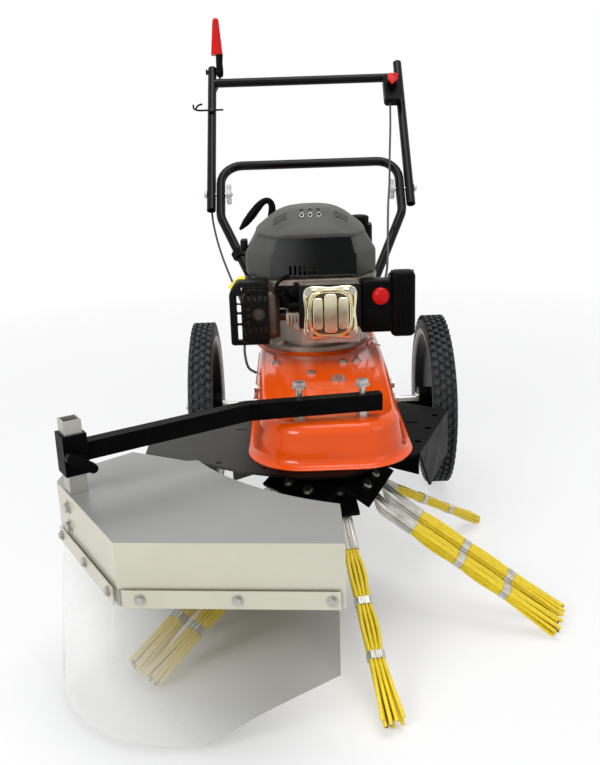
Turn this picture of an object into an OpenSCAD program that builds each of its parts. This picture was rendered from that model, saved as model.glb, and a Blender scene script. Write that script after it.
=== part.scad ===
// Walk-behind power brush sweeper: petrol engine, belt drive, spinning cable brush and side guard.
// Machine frame: X across, +Y towards the handle, Z up from the ground, wheel axle above Y = 0.

/* [Wheels] */
// Outside diameter of the tyres
tyre_d = 356; // [340:2:372]
// Width of the tyres
tyre_w = 48; // [40:1:56]
// Height of the tyre section from bead to tread
tyre_h = 40; // [32:1:50]
// Distance from the centre line to the inner face of each tyre
wheel_gap = 217; // [208:1:230]
// Diameter of the axle
axle_d = 15; // [12:0.5:18]
// Diameter of the rim hubs
hub_d = 50; // [36:1:60]
// How far a hub stands past the tyre on each side
hub_proud = 8; // [4:1:14]

/* [Deck] */
// Height of the base plate's top face
deck_z = 258; // [250:1:270]
// Thickness of the base plate
plate_t = 4; // [3:0.5:6]
// Height of the belt cover
cover_h = 64; // [58:1:72]
// Sheet thickness of the belt cover
cover_t = 3; // [2:0.5:4]
// Half width of the belt cover at its foot
cover_foot = 130; // [124:1:136]
// Half width of the belt cover's top at the engine
cover_rear = 122; // [114:1:128]
// Half width of the belt cover's top at the front
cover_front = 108; // [100:1:114]
// Y of the belt cover's rear face
cover_back = 112; // [100:1:120]
// How far the belt cover reaches past the spindle at the front
cover_nose = 82; // [76:1:90]
// Depth of the folded right wing
flap_h = 88; // [70:1:96]
// Diameter of the accessory holes in the wings
hole_d = 11; // [8:0.5:14]
// Width of the rear apron
apron_w = 354; // [300:2:380]
// Height of the rear apron at its middle
apron_h = 124; // [100:1:132]

/* [Belt drive] */
// Y of the brush spindle, ahead of the axle
spindle_y = -480; // [-490:1:-470]
// Diameter of the brush spindle
spindle_d = 20; // [17:0.5:25]
// Outside diameter of the spindle bearings
bearing_d = 42; // [40:1:48]
// Width of a spindle bearing
bearing_w = 12; // [10:0.5:14]
// Diameter of the rotor pulley
rotor_pulley_d = 136; // [120:2:140]
// Diameter of the engine pulley
engine_pulley_d = 76; // [64:2:84]
// Diameter of the idler pulley
idler_d = 50; // [40:1:56]
// Width of the pulleys
pulley_w = 20; // [18:0.5:24]
// Width of the belt
belt_w = 13; // [10:0.5:14]
// Depth of the belt
belt_h = 8; // [6:0.5:10]

/* [Brush rotor] */
// Radius that the brush tips sweep
brush_r = 370; // [355:1:378]
// Height of the rotor plate's middle above the floor
rotor_z = 219; // [214:0.5:222]
// Radius where the tabs of the rotor plate are bent
bend_r = 50; // [44:1:56]
// Thickness of the rotor plate
rotor_t = 6; // [5:0.5:8]
// Length of a wide tab that carries two bundles
wide_tab = 41; // [36:1:46]
// Length of a narrow tab that carries one bundle
narrow_tab = 62; // [54:1:68]
// Distance between the two bundles of a pair
pair_gap = 46; // [40:1:52]
// Diameter of one brush cable
strand_d = 5.4; // [4.5:0.1:5.6]
// Spacing of the cables in a clip
strand_pitch = 6.2; // [6:0.1:6.6]
// Cables across a bundle
strands_across = 4; // [3:1:5]
// Rows of cables in a bundle
strand_rows = 3; // [2:1:3]
// Length of a bundle clip's sleeve
clip_l = 78; // [60:1:90]
// Sheet thickness of the clips and bands
clip_t = 1.5; // [1:0.1:2]
// Width of a bundle band
band_w = 14; // [10:1:18]

/* [Guard] */
// Width of the guard arm
arm_w = 20; // [16:1:24]
// Height of the guard arm
arm_h = 26; // [22:1:30]
// Gap between the belt cover and the guard arm
arm_gap = 11; // [8:1:14]
// Width of the square guard post
post_w = 25; // [20:1:28]
// Wall of the guard post
post_t = 2; // [1.5:0.5:3]
// Height of the post's socket
socket_h = 57; // [50:1:64]
// Height of the guard's walls
guard_h = 87; // [80:1:94]
// Sheet thickness of the guard
guard_t = 1.5; // [1:0.1:2]
// Thickness of the clear skirt
skirt_t = 3; // [2:0.5:4]
// Height of the skirt's lower edge above the ground
skirt_foot = 10; // [9:1:30]
// Width of the clamp strips
strip_w = 24; // [18:1:30]

/* [Handle] */
// Diameter of the handle tubes
tube_d = 22; // [19:0.5:25]
// Wall of the handle tubes
tube_t = 2; // [1.5:0.1:3]
// Half width between the lower handle's tube centres
handle_x = 218; // [210:1:226]
// Height of the fold pivot above the deck
pivot_h = 329; // [320:1:340]
// Y of the fold pivot
pivot_y = 394; // [388:1:400]
// Slope of the handle above level
handle_slope = 49.7; // [46:0.1:54]
// Distance from the pivot to the lower handle's crossbar
low_bar = 83; // [76:1:92]
// Distance from the pivot to the upper handle's crossbar
top_bar = 345; // [320:1:370]
// How far the upper tubes reach past their crossbar
tube_tip = 48; // [40:1:60]
// How far the upper tubes reach below the pivot
tube_tail = 45; // [36:1:50]
// Diameter of the fold bolts
fold_d = 8; // [6:0.5:10]

/* [Engine] */
// X of the crankshaft
crank_x = -10; // [-14:1:0]
// Y of the crankshaft
crank_y = -28; // [-32:1:-20]
// Diameter of the crankshaft
crank_d = 25; // [22:0.5:28]
// Diameter of the crankcase flange
flange_d = 216; // [200:1:222]
// Thickness of the crankcase flange
flange_t = 12; // [10:0.5:16]
// Height of the crankcase above the belt cover
case_h = 150; // [146:1:156]
// Width of the blower housing
blower_w = 246; // [236:1:252]
// Depth of the blower housing
blower_l = 228; // [220:1:234]
// Height of the blower housing
blower_h = 126; // [120:1:132]
// Wall of the blower housing
blower_t = 3; // [2:0.5:4]
// Width and height of the valve cover
valve_w = 102; // [96:1:108]
// X of the cylinder's middle
cylinder_x = 17; // [12:1:22]
// Distance from the crankshaft to the valve cover's face
valve_reach = 186; // [180:1:192]
// Width of the air cleaner
air_w = 104; // [96:1:110]
// Height of the air cleaner
air_h = 128; // [120:1:134]
// Diameter of the primer bulb
primer_d = 32; // [26:1:36]
// Travel of the primer bulb
primer_travel = 8; // [5:1:10]
// Diameter of the fuel cap
cap_d = 44; // [38:1:50]

/* [Controls] */
// Length of the clutch lever's red grip
grip_l = 92; // [80:1:100]
// Length of the throttle box along its tube
box_l = 78; // [70:1:86]
// Width of the throttle box
box_w = 44; // [38:1:50]
// Diameter of the cables
cable_d = 5; // [4:0.5:6]

/* [Fits] */
// Radial clearance of a shaft that turns in its bore
run_gap = 0.05; // [0.02:0.01:0.1]
// Clearance between pieces that only pass each other
air_gap = 0.4; // [0.3:0.1:0.8]

/* [Hidden] */
$fn = 48;

// Shift from the machine frame to the middle of the footprint
foot_shift = [16.6, 104.3, 0];

// Wheels
axle_z = tyre_d / 2;
rim_r = tyre_d / 2 - tyre_h;
wheel_x = wheel_gap + tyre_w / 2;
hub_half = tyre_w / 2 + hub_proud;
collar_w = 5;
nut_w = 10;
axle_half = wheel_x + hub_half + nut_w + 4;

// Deck
plate_z = deck_z - plate_t;
cover_z = deck_z + cover_h;
cheek_x = 114;
cheek_t = 5;
fold_a = [140, -513];
fold_b = [218, -314];
fold_turn = atan2(fold_b.y - fold_a.y, fold_b.x - fold_a.x);
fold_l = norm(fold_b - fold_a);
wing_holes = [[190, -340], [168, -403], [143, -465], [-175, -527], [-102, -554]];
slot_spots = [[146, -372], [-148, -378]];
slot_l = 22;
slot_w = 6;
apron_y = -247;

// Handle sockets and tubes
slope_y = cos(handle_slope);
slope_z = sin(handle_slope);
pivot_z = deck_z + pivot_h;
low_drop = 65;
low_turn = [handle_x, pivot_y - low_drop * slope_y, pivot_z - low_drop * slope_z];
low_foot = [71, 147, deck_z + 4];
low_dir = (low_turn - low_foot) / norm(low_turn - low_foot);
socket_l = 62;
socket_wall = 3;
upper_x = handle_x + tube_d + 1;
corner_r = 52;
turn_r = 60;
knob_x = handle_x - tube_d / 2;

// Belt drive
spindle = [0, spindle_y];
crank = [crank_x, crank_y];
drive_z = deck_z + 30;
housing_d = bearing_d + 20;
housing_up = 16;
housing_down = 22;
housing_flange = 110;
groove_w = belt_w + 2 * air_gap;
groove_h = belt_h + 2;
rotor_belt_r = rotor_pulley_d / 2 - belt_h;
engine_belt_r = engine_pulley_d / 2 - belt_h;
idler_pin = [23, -316];
idler_pin_d = 12;
belt_run = unit([crank.x - spindle.x, crank.y - spindle.y]);
belt_side = [belt_run.y, -belt_run.x];
belt_len = norm(crank - spindle);
belt_lean = asin((rotor_belt_r - engine_belt_r) / belt_len);
strand_n = belt_side * cos(belt_lean) + belt_run * sin(belt_lean);
strand_t = belt_run * cos(belt_lean) - belt_side * sin(belt_lean);
idler_along = 228;
idler_rest = 8;
idler_on = spindle + strand_n * (rotor_belt_r - air_gap - idler_d / 2) + strand_t * idler_along - idler_pin;
idler_c = idler_pin + [idler_on.x * cos(idler_rest) - idler_on.y * sin(idler_rest),
  idler_on.x * sin(idler_rest) + idler_on.y * cos(idler_rest)];
idler_arm_t = 5;
idler_hub_d = 24;
idler_shaft_d = 10;

// Brush rotor
bundle_w = strands_across * strand_pitch + 1;
bundle_h = strand_rows * strand_pitch + 1;
sleeve_x = 38;
bundle_drop = rotor_t / 2 + clip_t + bundle_h / 2;
tip_spread = 1.45;
tip_half = (strand_rows - 1) / 2 * strand_pitch * tip_spread + strand_d / 2;
brush_slope = slope_from(slope_from(slope_from(slope_from(30))));
bundle_end = (brush_r - bend_r + bundle_drop * sin(brush_slope)) / cos(brush_slope);
tab_bolt_x = 18;
wide_w = 140;
narrow_w = 46;
pair_turns = [-21, -141, 99];
single_turns = [-81, 39, 159];
band_spots = [sleeve_x + 163, sleeve_x + 245];
bolt_d = 8;

// Guard outline, from the front left corner round the open side
guard_a = [-278, -847];
guard_b = [0, -870];
guard_d = [-392, -655];
guard_e = [-389, -624];
guard_f = [-302, -550];
guard_g = [-215, -594];
guard_in1 = [-170, -590];
guard_in2 = [0, -640];
guard_cut = [133, -401];
guard_cut_r = 384;
guard_z = cover_z - 32;
front_dir = unit(guard_b - guard_a);
front_out = [front_dir.y, -front_dir.x];
left_dir = unit(guard_d - guard_a);
left_out = [-left_dir.y, left_dir.x];
post_turn = atan2(-left_out.y, -left_out.x);
post_along = 178;
post_c = guard_a + left_dir * post_along - left_out * (guard_t + post_w / 2 + air_gap);
arm_z = cover_z + arm_gap;
post_top = arm_z + arm_h + 35;
post_foot = guard_z - guard_h + 12;
arm_in = [79, -511];
arm_bend = [-126, -540];
arm_bolts = [[-47, -516.5], [50, -514]];
socket_t = 4;
socket_gap = 0.3;
socket_z = arm_z + arm_h / 2 - socket_h / 2;
clamp_d = 8;

// Engine
engine_z = cover_z;
case_top = engine_z + case_h;
valve_y = crank_y - valve_reach;
head_y = valve_y + 14;
fin_count = 6;
valve_z = engine_z + 96;
air_x = 124;
air_y = -192;
air_z = engine_z + 49;
primer_c = [111, air_y, engine_z + 122];
muffler_c = [-127, -150, engine_z + 94];
tank_c = [76, crank_y - 14 + blower_l / 2 + 60];
tank_size = [96, 70, 66];
cap_c = [96, tank_c.y];
reel_d = 88;
reel_pin_d = 12;
grip_c = [-122, crank_y - 14 + blower_l / 2 + 20, engine_z + 241];
grip_r = 32;
grip_d = 18;
pull_dir = [0, 0.7, 0.714];

// Clutch lever and throttle box, along the upper tubes
lever_pin_d = 8;
lever_at = top_bar + tube_tip - 10;
lever_y = pivot_y + lever_at * slope_y;
lever_z = pivot_z + lever_at * slope_z;
lever_t = 5;
lever_x = -upper_x + tube_d / 2 + air_gap;
lever_lean = 10;
lever_l = 42;
box_at = top_bar - 62;
box_t = 26;

// Cable routes, from the controls down to the engine and the deck
throttle_route = [[210, 533, 788], [208, 512, 762], [205, 485, 728], [201, 458, 692], [197, 430, 656],
  [187, 345, 606], [174, 250, 573], [163, 160, 540], [154, 80, 508], [147, 20, 483], [139, -34, 460],
  [128, -70, 442], [114.2, -92, 430]];
clutch_route = [[-221.8, 636, 867], [-226, 641, 848], [-236, 622, 824], [-241, 600.4, 805.3],
  [-241, 540, 734], [-241, 480, 663.4], [-241, 419.3, 591.8], [-241, 380, 545], [-232, 340, 500],
  [-215, 290, 452], [-190, 220, 404], [-165, 140, 366], [-152, 40, 346], [-151, -60, 338],
  [-150, -120, 326], [-142, -166, 308], [-126.6, -176, 299]];

function unit(v) = v / norm(v);

// A closer slope of the bundles, at which the tips just reach the floor
function slope_from(a) = atan((rotor_z - bundle_drop / cos(a) - tip_half * cos(a)) / (brush_r - bend_r));

// Outline of a rectangle with round corners
function rounded(w, h, r, n = 8) = [for (c = [0 : 3], i = [0 : n])
  let (a = c * 90 + i * 90 / n, sx = [1, -1, -1, 1][c], sy = [1, 1, -1, -1][c])
  [sx * (w / 2 - r) + r * cos(a), sy * (h / 2 - r) + r * sin(a)]];

module rounded_plate(w, h, r, t) {
  linear_extrude(t) polygon(rounded(w, h, r));
}

// The machine, moved so that the origin is under the middle of its footprint
module machine() {
  translate(foot_shift) children();
}

// A round bar from one point to another
module rod(p, q, d, roll = 0) {
  v = q - p;
  translate(p) rotate([0, acos(v.z / norm(v)), atan2(v.y, v.x)]) rotate([0, 0, roll]) cylinder(d = d, h = norm(v));
}

// A bar along X, centred on a point
module bar_x(c, d, x0, x1) {
  translate([x0, c.y, c.z]) rotate([0, 90, 0]) cylinder(d = d, h = x1 - x0);
}

// Stations of a line through points with one bend radius at each inner point: place and heading
function bent_line(path, radii, steps) =
  let (last = len(path) - 1, dirs = [for (i = [0 : last - 1]) unit(path[i + 1] - path[i])])
  concat([[path[0], dirs[0]]],
    [for (i = [1 : last - 1]) let (u = dirs[i - 1], turn = acos(u * dirs[i]), r = radii[i - 1],
      m = cross(unit(cross(u, dirs[i])), u), c = path[i] - u * r * tan(turn / 2) + m * r)
      for (k = [0 : steps]) let (a = turn * k / steps) [c + r * (u * sin(a) - m * cos(a)), u * cos(a) + m * sin(a)]],
    [[path[last], dirs[last - 1]]]);

// Rings of points round such stations
function line_rings(stations, ref, r, sides) = [for (s = stations)
  let (u = unit(ref - s[1] * (ref * s[1])), v = cross(s[1], u))
  for (k = [0 : sides - 1]) s[0] + r * (u * cos(k * 360 / sides) + v * sin(k * 360 / sides))];

// A tube with an open bore, swept along stations
module swept_tube(stations, ref, d, wall, sides) {
  n = len(stations);
  o = n * sides;
  points = concat(line_rings(stations, ref, d / 2, sides), line_rings(stations, ref, d / 2 - wall, sides));
  faces = concat(
    [for (i = [0 : n - 2], k = [0 : sides - 1]) let (a = i * sides + k, b = i * sides + (k + 1) % sides)
      each [[a, a + sides, b], [b, a + sides, b + sides], [o + a, o + b, o + a + sides],
        [o + b, o + b + sides, o + a + sides]]],
    [for (k = [0 : sides - 1]) let (a = k, b = (k + 1) % sides, e = (n - 1) * sides)
      each [[a, b, o + a], [o + a, b, o + b], [e + b, e + a, o + e + b], [o + e + b, e + a, o + e + a]]]);
  polyhedron(points, faces);
}

// A hexagon bolt standing on the XY plane with its shank below
module hex_bolt(d, l, head = 0) {
  head_h = head == 0 ? d * 0.7 : head;
  cylinder(d = d * 1.85, h = head_h, $fn = 6);
  cylinder(d = d * 2.3, h = 1.6);
  translate([0, 0, -l]) cylinder(d = d, h = l + 1);
}

module hex_nut(d, h) {
  difference() {
    cylinder(d = d * 1.85, h = h, $fn = 6);
    translate([0, 0, -1]) cylinder(d = d + 2 * run_gap, h = h + 2);
  }
}

// Points of a smooth line through a route, by Catmull-Rom
function route_at(route, i, t) =
  let (n = len(route) - 1, p0 = route[max(i - 1, 0)], p1 = route[i], p2 = route[i + 1],
    p3 = route[min(i + 2, n)])
  0.5 * (2 * p1 + (p2 - p0) * t + (2 * p0 - 5 * p1 + 4 * p2 - p3) * t * t
    + (3 * p1 - p0 - 3 * p2 + p3) * t * t * t);
function smooth_route(route, steps) = concat(
  [for (i = [0 : len(route) - 2], k = [0 : steps - 1]) route_at(route, i, k / steps)],
  [route[len(route) - 1]]);

// A cable swept along a route
module cable(route, d, sides = 8) {
  pts = smooth_route(route, 3);
  n = len(pts);
  tangents = [for (i = [0 : n - 1]) unit(pts[min(i + 1, n - 1)] - pts[max(i - 1, 0)])];
  rings = [for (i = [0 : n - 1])
    let (t = tangents[i], u = unit(cross(t, [1, 0, 0])), v = cross(t, u))
    [for (k = [0 : sides - 1]) pts[i] + d / 2 * (u * cos(k * 360 / sides) + v * sin(k * 360 / sides))]];
  points = concat([for (ring = rings) each ring], [pts[0], pts[n - 1]]);
  faces = concat(
    [for (i = [0 : n - 2], k = [0 : sides - 1])
      let (a = i * sides + k, b = i * sides + (k + 1) % sides) each [[a, a + sides, b], [b, a + sides, b + sides]]],
    [for (k = [0 : sides - 1]) [k, (k + 1) % sides, n * sides]],
    [for (k = [0 : sides - 1]) [(n - 1) * sides + (k + 1) % sides, (n - 1) * sides + k, n * sides + 1]]);
  polyhedron(points, faces);
}

// Outline of the belt cover, grown by a margin, at a half width and a nose reach
function cover_outline(front, rear, nose, back, r) =
  let (side = [for (i = [0 : 10])
      let (a = -90 + i * 90 / 10)
      [(front - r) + r * cos(a) - (front - r) * (1 - min(1, i / 10)) * 0, spindle_y - nose + r + r * sin(a)]],
    rear_r = 24,
    tail = [for (i = [0 : 6]) let (a = i * 90 / 6) [rear - rear_r + rear_r * cos(a), back - rear_r + rear_r * sin(a)]],
    right = concat(side, [[rear, -135]], tail))
  concat(right, [for (i = [len(right) - 1 : -1 : 0]) [-right[i].x, right[i].y]]);

module cover_form(grow, z0, z1) {
  edge = 20;
  hull() {
    translate([0, 0, z0]) linear_extrude(1)
      polygon(cover_outline(cover_foot - 12 + grow, cover_foot - 6 + grow, cover_nose + grow, cover_back + grow, 84));
    translate([0, 0, z1 - edge]) linear_extrude(1)
      polygon(cover_outline(cover_front + 4 + grow, cover_rear + 2 + grow, cover_nose - 8 + grow, cover_back - 4 + grow, 76));
    translate([0, 0, z1 - edge / 4]) linear_extrude(1)
      polygon(cover_outline(cover_front + grow, cover_rear - 1 + grow, cover_nose - 16 + grow, cover_back - 8 + grow, 72));
    translate([0, 0, z1 - 1]) linear_extrude(1)
      polygon(cover_outline(cover_front - 10 + grow, cover_rear - 10 + grow, cover_nose - 28 + grow,
        cover_back - 18 + grow, 66));
  }
}

// Belt cover: one orange pressing with a flared foot, open below
module belt_cover() color([0.93, 0.35, 0.08]) machine() difference() {
  union() {
    cover_form(0, deck_z, cover_z);
    translate([0, 0, deck_z]) linear_extrude(cover_t)
      polygon(cover_outline(cover_foot, cover_foot, cover_nose + 12, cover_back + 4, 92));
  }
  cover_form(-cover_t, deck_z - 1, cover_z - cover_t);
  for (p = concat(top_bolts(), engine_bolt_spots()))
    translate([p.x, p.y, cover_z - 2 * cover_t]) cylinder(d = bolt_d + 1, h = 4 * cover_t);
  for (p = arm_bolts) translate([p.x, p.y, cover_z - 2 * cover_t]) cylinder(d = bolt_d + 3, h = 4 * cover_t);
  translate([idler_pin.x, idler_pin.y, cover_z - 2 * cover_t]) cylinder(d = idler_pin_d + 1, h = 4 * cover_t);
  translate([crank.x, crank.y, cover_z - 2 * cover_t]) cylinder(d = crank_d + 20, h = 4 * cover_t);
  for (p = side_bolts()) {
    bar_x(p, bolt_d + 1, p.x - 20, p.x + 20);
    translate(p) rotate([0, sign(p.x) * 90, 0]) cylinder(d = bolt_d * 2.3 + 0.6, h = 14);
  }
}

function top_bolts() = [[-87, -200], [-23, -272], [38, -206], [64, -200]];
function side_bolts() = [for (s = [-1, 1], k = [0, 1])
  [s * (cover_foot - 8 - 2.4 * k), -262 - 80 * k, deck_z + 36 - 2 * k]];
function engine_bolt_spots() = [for (i = [0 : 3]) let (a = 45 + i * 90)
  [crank.x + (flange_d / 2 - 12) * cos(a), crank.y + (flange_d / 2 - 12) * sin(a)]];

// Base plate: black sheet with a flat left wing, a folded right wing and the handle sockets
module base_plate() color([0.07, 0.07, 0.07]) machine() difference() {
  union() {
    translate([0, 0, plate_z]) linear_extrude(plate_t) polygon([[-50, -597], [16, -596], [105, -541], fold_a,
      fold_b, [132, -253], [132, 120], [112, 205], [-112, 205], [-132, 120], [-132, -253], [-218, -314],
      [-299, -346], [-297, -474], [-188, -532], [-140, -562]]);
    translate([fold_a.x, fold_a.y, deck_z]) rotate([0, 0, fold_turn]) translate([0, plate_t, 0])
      rotate([90, 0, 0]) linear_extrude(plate_t)
        polygon([[0, 0], [0, -2], [78, -flap_h], [fold_l, -flap_h + 7], [fold_l, 0]]);
    for (s = [-1, 1]) handle_socket(s);
  }
  for (p = wing_holes) translate([p.x, p.y, plate_z - 1]) cylinder(d = hole_d, h = plate_t + 2);
  for (p = slot_spots) translate([p.x, p.y, plate_z - 1]) slot_hole();
  translate([spindle.x, spindle.y, plate_z - 1]) cylinder(d = housing_d + 2 * run_gap, h = plate_t + 2);
  for (p = housing_bolts()) translate([p.x, p.y, plate_z - 1]) cylinder(d = bolt_d + 1, h = plate_t + 2);
  translate([idler_pin.x, idler_pin.y, plate_z - 1]) cylinder(d = idler_pin_d + 2 * run_gap, h = plate_t + 2);
  for (s = [-1, 1]) socket_bore(s);
}

module slot_hole() {
  for (s = [-1, 1]) translate([s * (slot_l - slot_w) / 2, 0, 0]) cylinder(d = slot_w, h = plate_t + 2);
  translate([-(slot_l - slot_w) / 2, -slot_w / 2, 0]) cube([slot_l - slot_w, slot_w, plate_t + 2]);
}

module handle_socket(s) {
  mirror([s < 0 ? 1 : 0, 0, 0]) intersection() {
    rod(low_foot - low_dir * 30, low_foot + low_dir * socket_l, tube_d + 2 * socket_wall, 70);
    translate([0, 0, plate_z]) cube([2 * handle_x, 2 * pivot_y, 2 * cover_h]);
  }
}

module socket_bore(s) {
  mirror([s < 0 ? 1 : 0, 0, 0]) rod(low_foot, low_foot + low_dir * (socket_l + 10), tube_d + 2 * run_gap, 70);
}

function housing_bolts() = [for (i = [0 : 3]) let (a = 45 + i * 90)
  [spindle.x + (housing_flange / 2 - 11) * cos(a), spindle.y + (housing_flange / 2 - 11) * sin(a)]];

// Rear apron: sheet that keeps the debris off the wheels, arched over the brush
module rear_apron() color([0.08, 0.08, 0.08]) machine()
  translate([0, apron_y + plate_t, plate_z]) rotate([90, 0, 0]) linear_extrude(plate_t / 2)
    polygon([[-apron_w / 2, 0], [-apron_w / 2, -apron_h - 24], [-apron_w / 3.6, -apron_h], [apron_w / 3.6, -apron_h],
      [apron_w / 2, -apron_h - 24], [apron_w / 2, 0]]);

// Spindle housing: flanged casting that hangs under the base plate
module spindle_housing() color([0.16, 0.16, 0.17]) machine() translate([spindle.x, spindle.y, 0]) difference() {
  union() {
    translate([0, 0, plate_z - 8]) cylinder(d = housing_flange, h = 8);
    translate([0, 0, plate_z - housing_down]) cylinder(d = housing_d, h = housing_down + plate_t + housing_up);
  }
  translate([0, 0, plate_z - housing_down - 1]) cylinder(d = bearing_d - 8, h = 2 * cover_h);
  translate([0, 0, plate_z - housing_down + 2]) cylinder(d = bearing_d, h = 2 * cover_h);
  for (p = housing_bolts()) translate([p.x - spindle.x, p.y - spindle.y, plate_z - 9])
    cylinder(d = bolt_d + 1, h = 10);
}

// Two ball bearings in the spindle housing
module spindle_bearings() color("silver") machine()
  for (z = [plate_z - housing_down + 2, deck_z + housing_up - bearing_w]) translate([spindle.x, spindle.y, z])
    difference() {
      cylinder(d = bearing_d, h = bearing_w);
      translate([0, 0, -1]) cylinder(d = spindle_d + 2 * run_gap, h = bearing_w + 2);
    }

// Axle: plated bar with a collar inside each hub
module axle() color([0.75, 0.74, 0.68]) machine() {
  bar_x([0, 0, axle_z], axle_d, -axle_half, axle_half);
  for (s = [-1, 1]) {
    inner = s * (wheel_x - hub_half - air_gap);
    bar_x([0, 0, axle_z], axle_d + 12, min(inner, inner - s * collar_w), max(inner, inner - s * collar_w));
  }
}

// Axle carrier: bent plate that hangs the axle from the base plate
module axle_carrier() color([0.09, 0.09, 0.09]) machine() difference() {
  union() {
    translate([-cheek_x - cheek_t, -36, plate_z - cheek_t]) cube([2 * (cheek_x + cheek_t), 72, cheek_t]);
    for (s = [-1, 1]) translate([s > 0 ? cheek_x : -cheek_x - cheek_t, 0, 0]) rotate([90, 0, 90])
      linear_extrude(cheek_t) polygon([[-36, plate_z], [-20, axle_z - 18], [20, axle_z - 18], [36, plate_z]]);
  }
  bar_x([0, 0, axle_z], axle_d, -2 * cheek_x, 2 * cheek_x);
  translate([-cheek_x, -40, plate_z]) cube([2 * cheek_x, 80, plate_t]);
}

// Chassis bolts: every bolt and nut that holds the deck, the engine, the arm and the axle
module chassis_bolts() color([0.78, 0.77, 0.72]) machine() {
  for (p = top_bolts()) translate([p.x, p.y, cover_z]) hex_bolt(bolt_d, cover_t + 8);
  for (p = engine_bolt_spots()) translate([p.x, p.y, engine_z + flange_t]) hex_bolt(bolt_d, flange_t + cover_t + 6);
  for (p = arm_bolts) {
    translate([p.x, p.y, arm_z + arm_h + 14]) hex_bolt(bolt_d + 2, arm_h + arm_gap + cover_t + 20, 9);
    translate([p.x, p.y, cover_z]) hex_nut(bolt_d + 2, arm_gap);
  }
  translate([idler_pin.x, idler_pin.y, cover_z]) hex_bolt(idler_pin_d, cover_h + plate_t, 7);
  for (p = side_bolts()) translate(p) rotate([0, sign(p.x) * 90, 0])
    hex_bolt(bolt_d, 14);
  for (p = housing_bolts()) translate([p.x, p.y, deck_z]) hex_bolt(bolt_d, plate_t + 8);
  for (s = [-1, 1]) {
    x = s * (wheel_x + hub_half + air_gap);
    translate([x, 0, axle_z]) rotate([0, s * 90, 0]) hex_nut(axle_d, nut_w);
  }
}

// Guard arm: bent rectangular tube with the post's socket welded to its end
module guard_arm() color([0.06, 0.06, 0.06]) machine() difference() {
  union() {
    translate([0, 0, arm_z]) linear_extrude(arm_h) polygon(arm_outline(arm_w / 2, 0, -2));
    translate([post_c.x, post_c.y, socket_z]) rotate([0, 0, post_turn])
      translate([-socket_out() / 2, -socket_out() / 2, 0]) cube([socket_out(), socket_out(), socket_h]);
  }
  translate([0, 0, arm_z + post_t]) linear_extrude(arm_h - 2 * post_t) polygon(arm_outline(arm_w / 2 - post_t, 5, 1));
  translate([post_c.x, post_c.y, socket_z - 1]) rotate([0, 0, post_turn])
    translate([-post_w / 2 - socket_gap, -post_w / 2 - socket_gap, 0])
      cube([post_w + 2 * socket_gap, post_w + 2 * socket_gap, socket_h + 2]);
  for (p = arm_bolts) translate([p.x, p.y, arm_z - 1]) cylinder(d = bolt_d + 2 + 2 * run_gap, h = arm_h + 2);
  clamp_axis() cylinder(d = clamp_d + 2 * run_gap, h = socket_out());
}

function socket_out() = post_w + 2 * socket_gap + 2 * socket_t;

// Plan outline of the arm at a distance from its centre line, open past the inner end
function arm_outline(half, past, short) =
  let (d1 = unit(arm_bend - arm_in), d2 = unit(post_c - arm_bend), n1 = [-d1.y, d1.x], n2 = [-d2.y, d2.x],
    mitre = (n1 + n2) / (1 + n1 * n2), start = arm_in - d1 * past, end = post_c - d2 * (socket_out() / 2 + short))
  [start + n1 * half, arm_bend + mitre * half, end + n2 * half, end - n2 * half, arm_bend - mitre * half,
    start - n1 * half];

// Frame of the clamp screw: its axis runs out through the socket's front face
module clamp_axis() {
  translate([post_c.x, post_c.y, socket_z + socket_h * 0.42]) rotate([0, 0, post_turn]) rotate([90, 0, 0]) children();
}

// Clamp knob: T-handled screw that holds the guard post
module clamp_knob() color([0.05, 0.05, 0.05]) machine() clamp_axis() {
  tip = post_w / 2 + air_gap;
  head = socket_out() / 2 + 6;
  translate([0, 0, tip]) cylinder(d = clamp_d, h = head - tip + 1);
  translate([0, 0, head]) cylinder(d = 18, h = 10);
  translate([0, 0, head + 9]) rotate([0, 0, -35]) hull() for (s = [-1, 1]) translate([s * 17, 0, 0])
    cylinder(d = 13, h = 10, $fn = 32);
}

// Lower handle: one bent tube from socket to socket
module lower_handle() color([0.05, 0.05, 0.05]) machine() difference() {
  swept_tube(bent_line(low_path(), [turn_r, corner_r, corner_r, turn_r], 7), [0, -slope_z, slope_y], tube_d, tube_t, 20);
  for (s = [-1, 1]) bar_x([0, pivot_y, pivot_z], fold_d + 2 * run_gap, s * handle_x - tube_d, s * handle_x + tube_d);
}

function low_path() =
  let (end = low_foot + low_dir * 2, bar = [handle_x, pivot_y + low_bar * slope_y, pivot_z + low_bar * slope_z])
  [[-end.x, end.y, end.z], [-low_turn.x, low_turn.y, low_turn.z], [-bar.x, bar.y, bar.z], bar, low_turn, end];

// Upper handle: two straight tubes and a crossbar
module upper_handle() color([0.05, 0.05, 0.05]) machine() difference() {
  union() {
    for (s = [-1, 1]) rod(on_tube(s, -tube_tail), on_tube(s, top_bar + tube_tip), tube_d);
    bar_x(on_tube(1, top_bar), tube_d, -upper_x, upper_x);
  }
  for (s = [-1, 1]) rod(on_tube(s, -tube_tail - 5), on_tube(s, top_bar + tube_tip + 5), tube_d - 2 * tube_t);
  for (s = [-1, 1]) bar_x([0, pivot_y, pivot_z], fold_d + 2 * run_gap, s * upper_x - tube_d, s * upper_x + tube_d);
  bar_x([0, lever_y, lever_z], lever_pin_d + 2 * run_gap, -upper_x - tube_d, -upper_x + tube_d);
}

// A point of an upper tube's centre line, counted from the fold pivot
function on_tube(s, along) = [s * upper_x, pivot_y + along * slope_y, pivot_z + along * slope_z];

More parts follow.
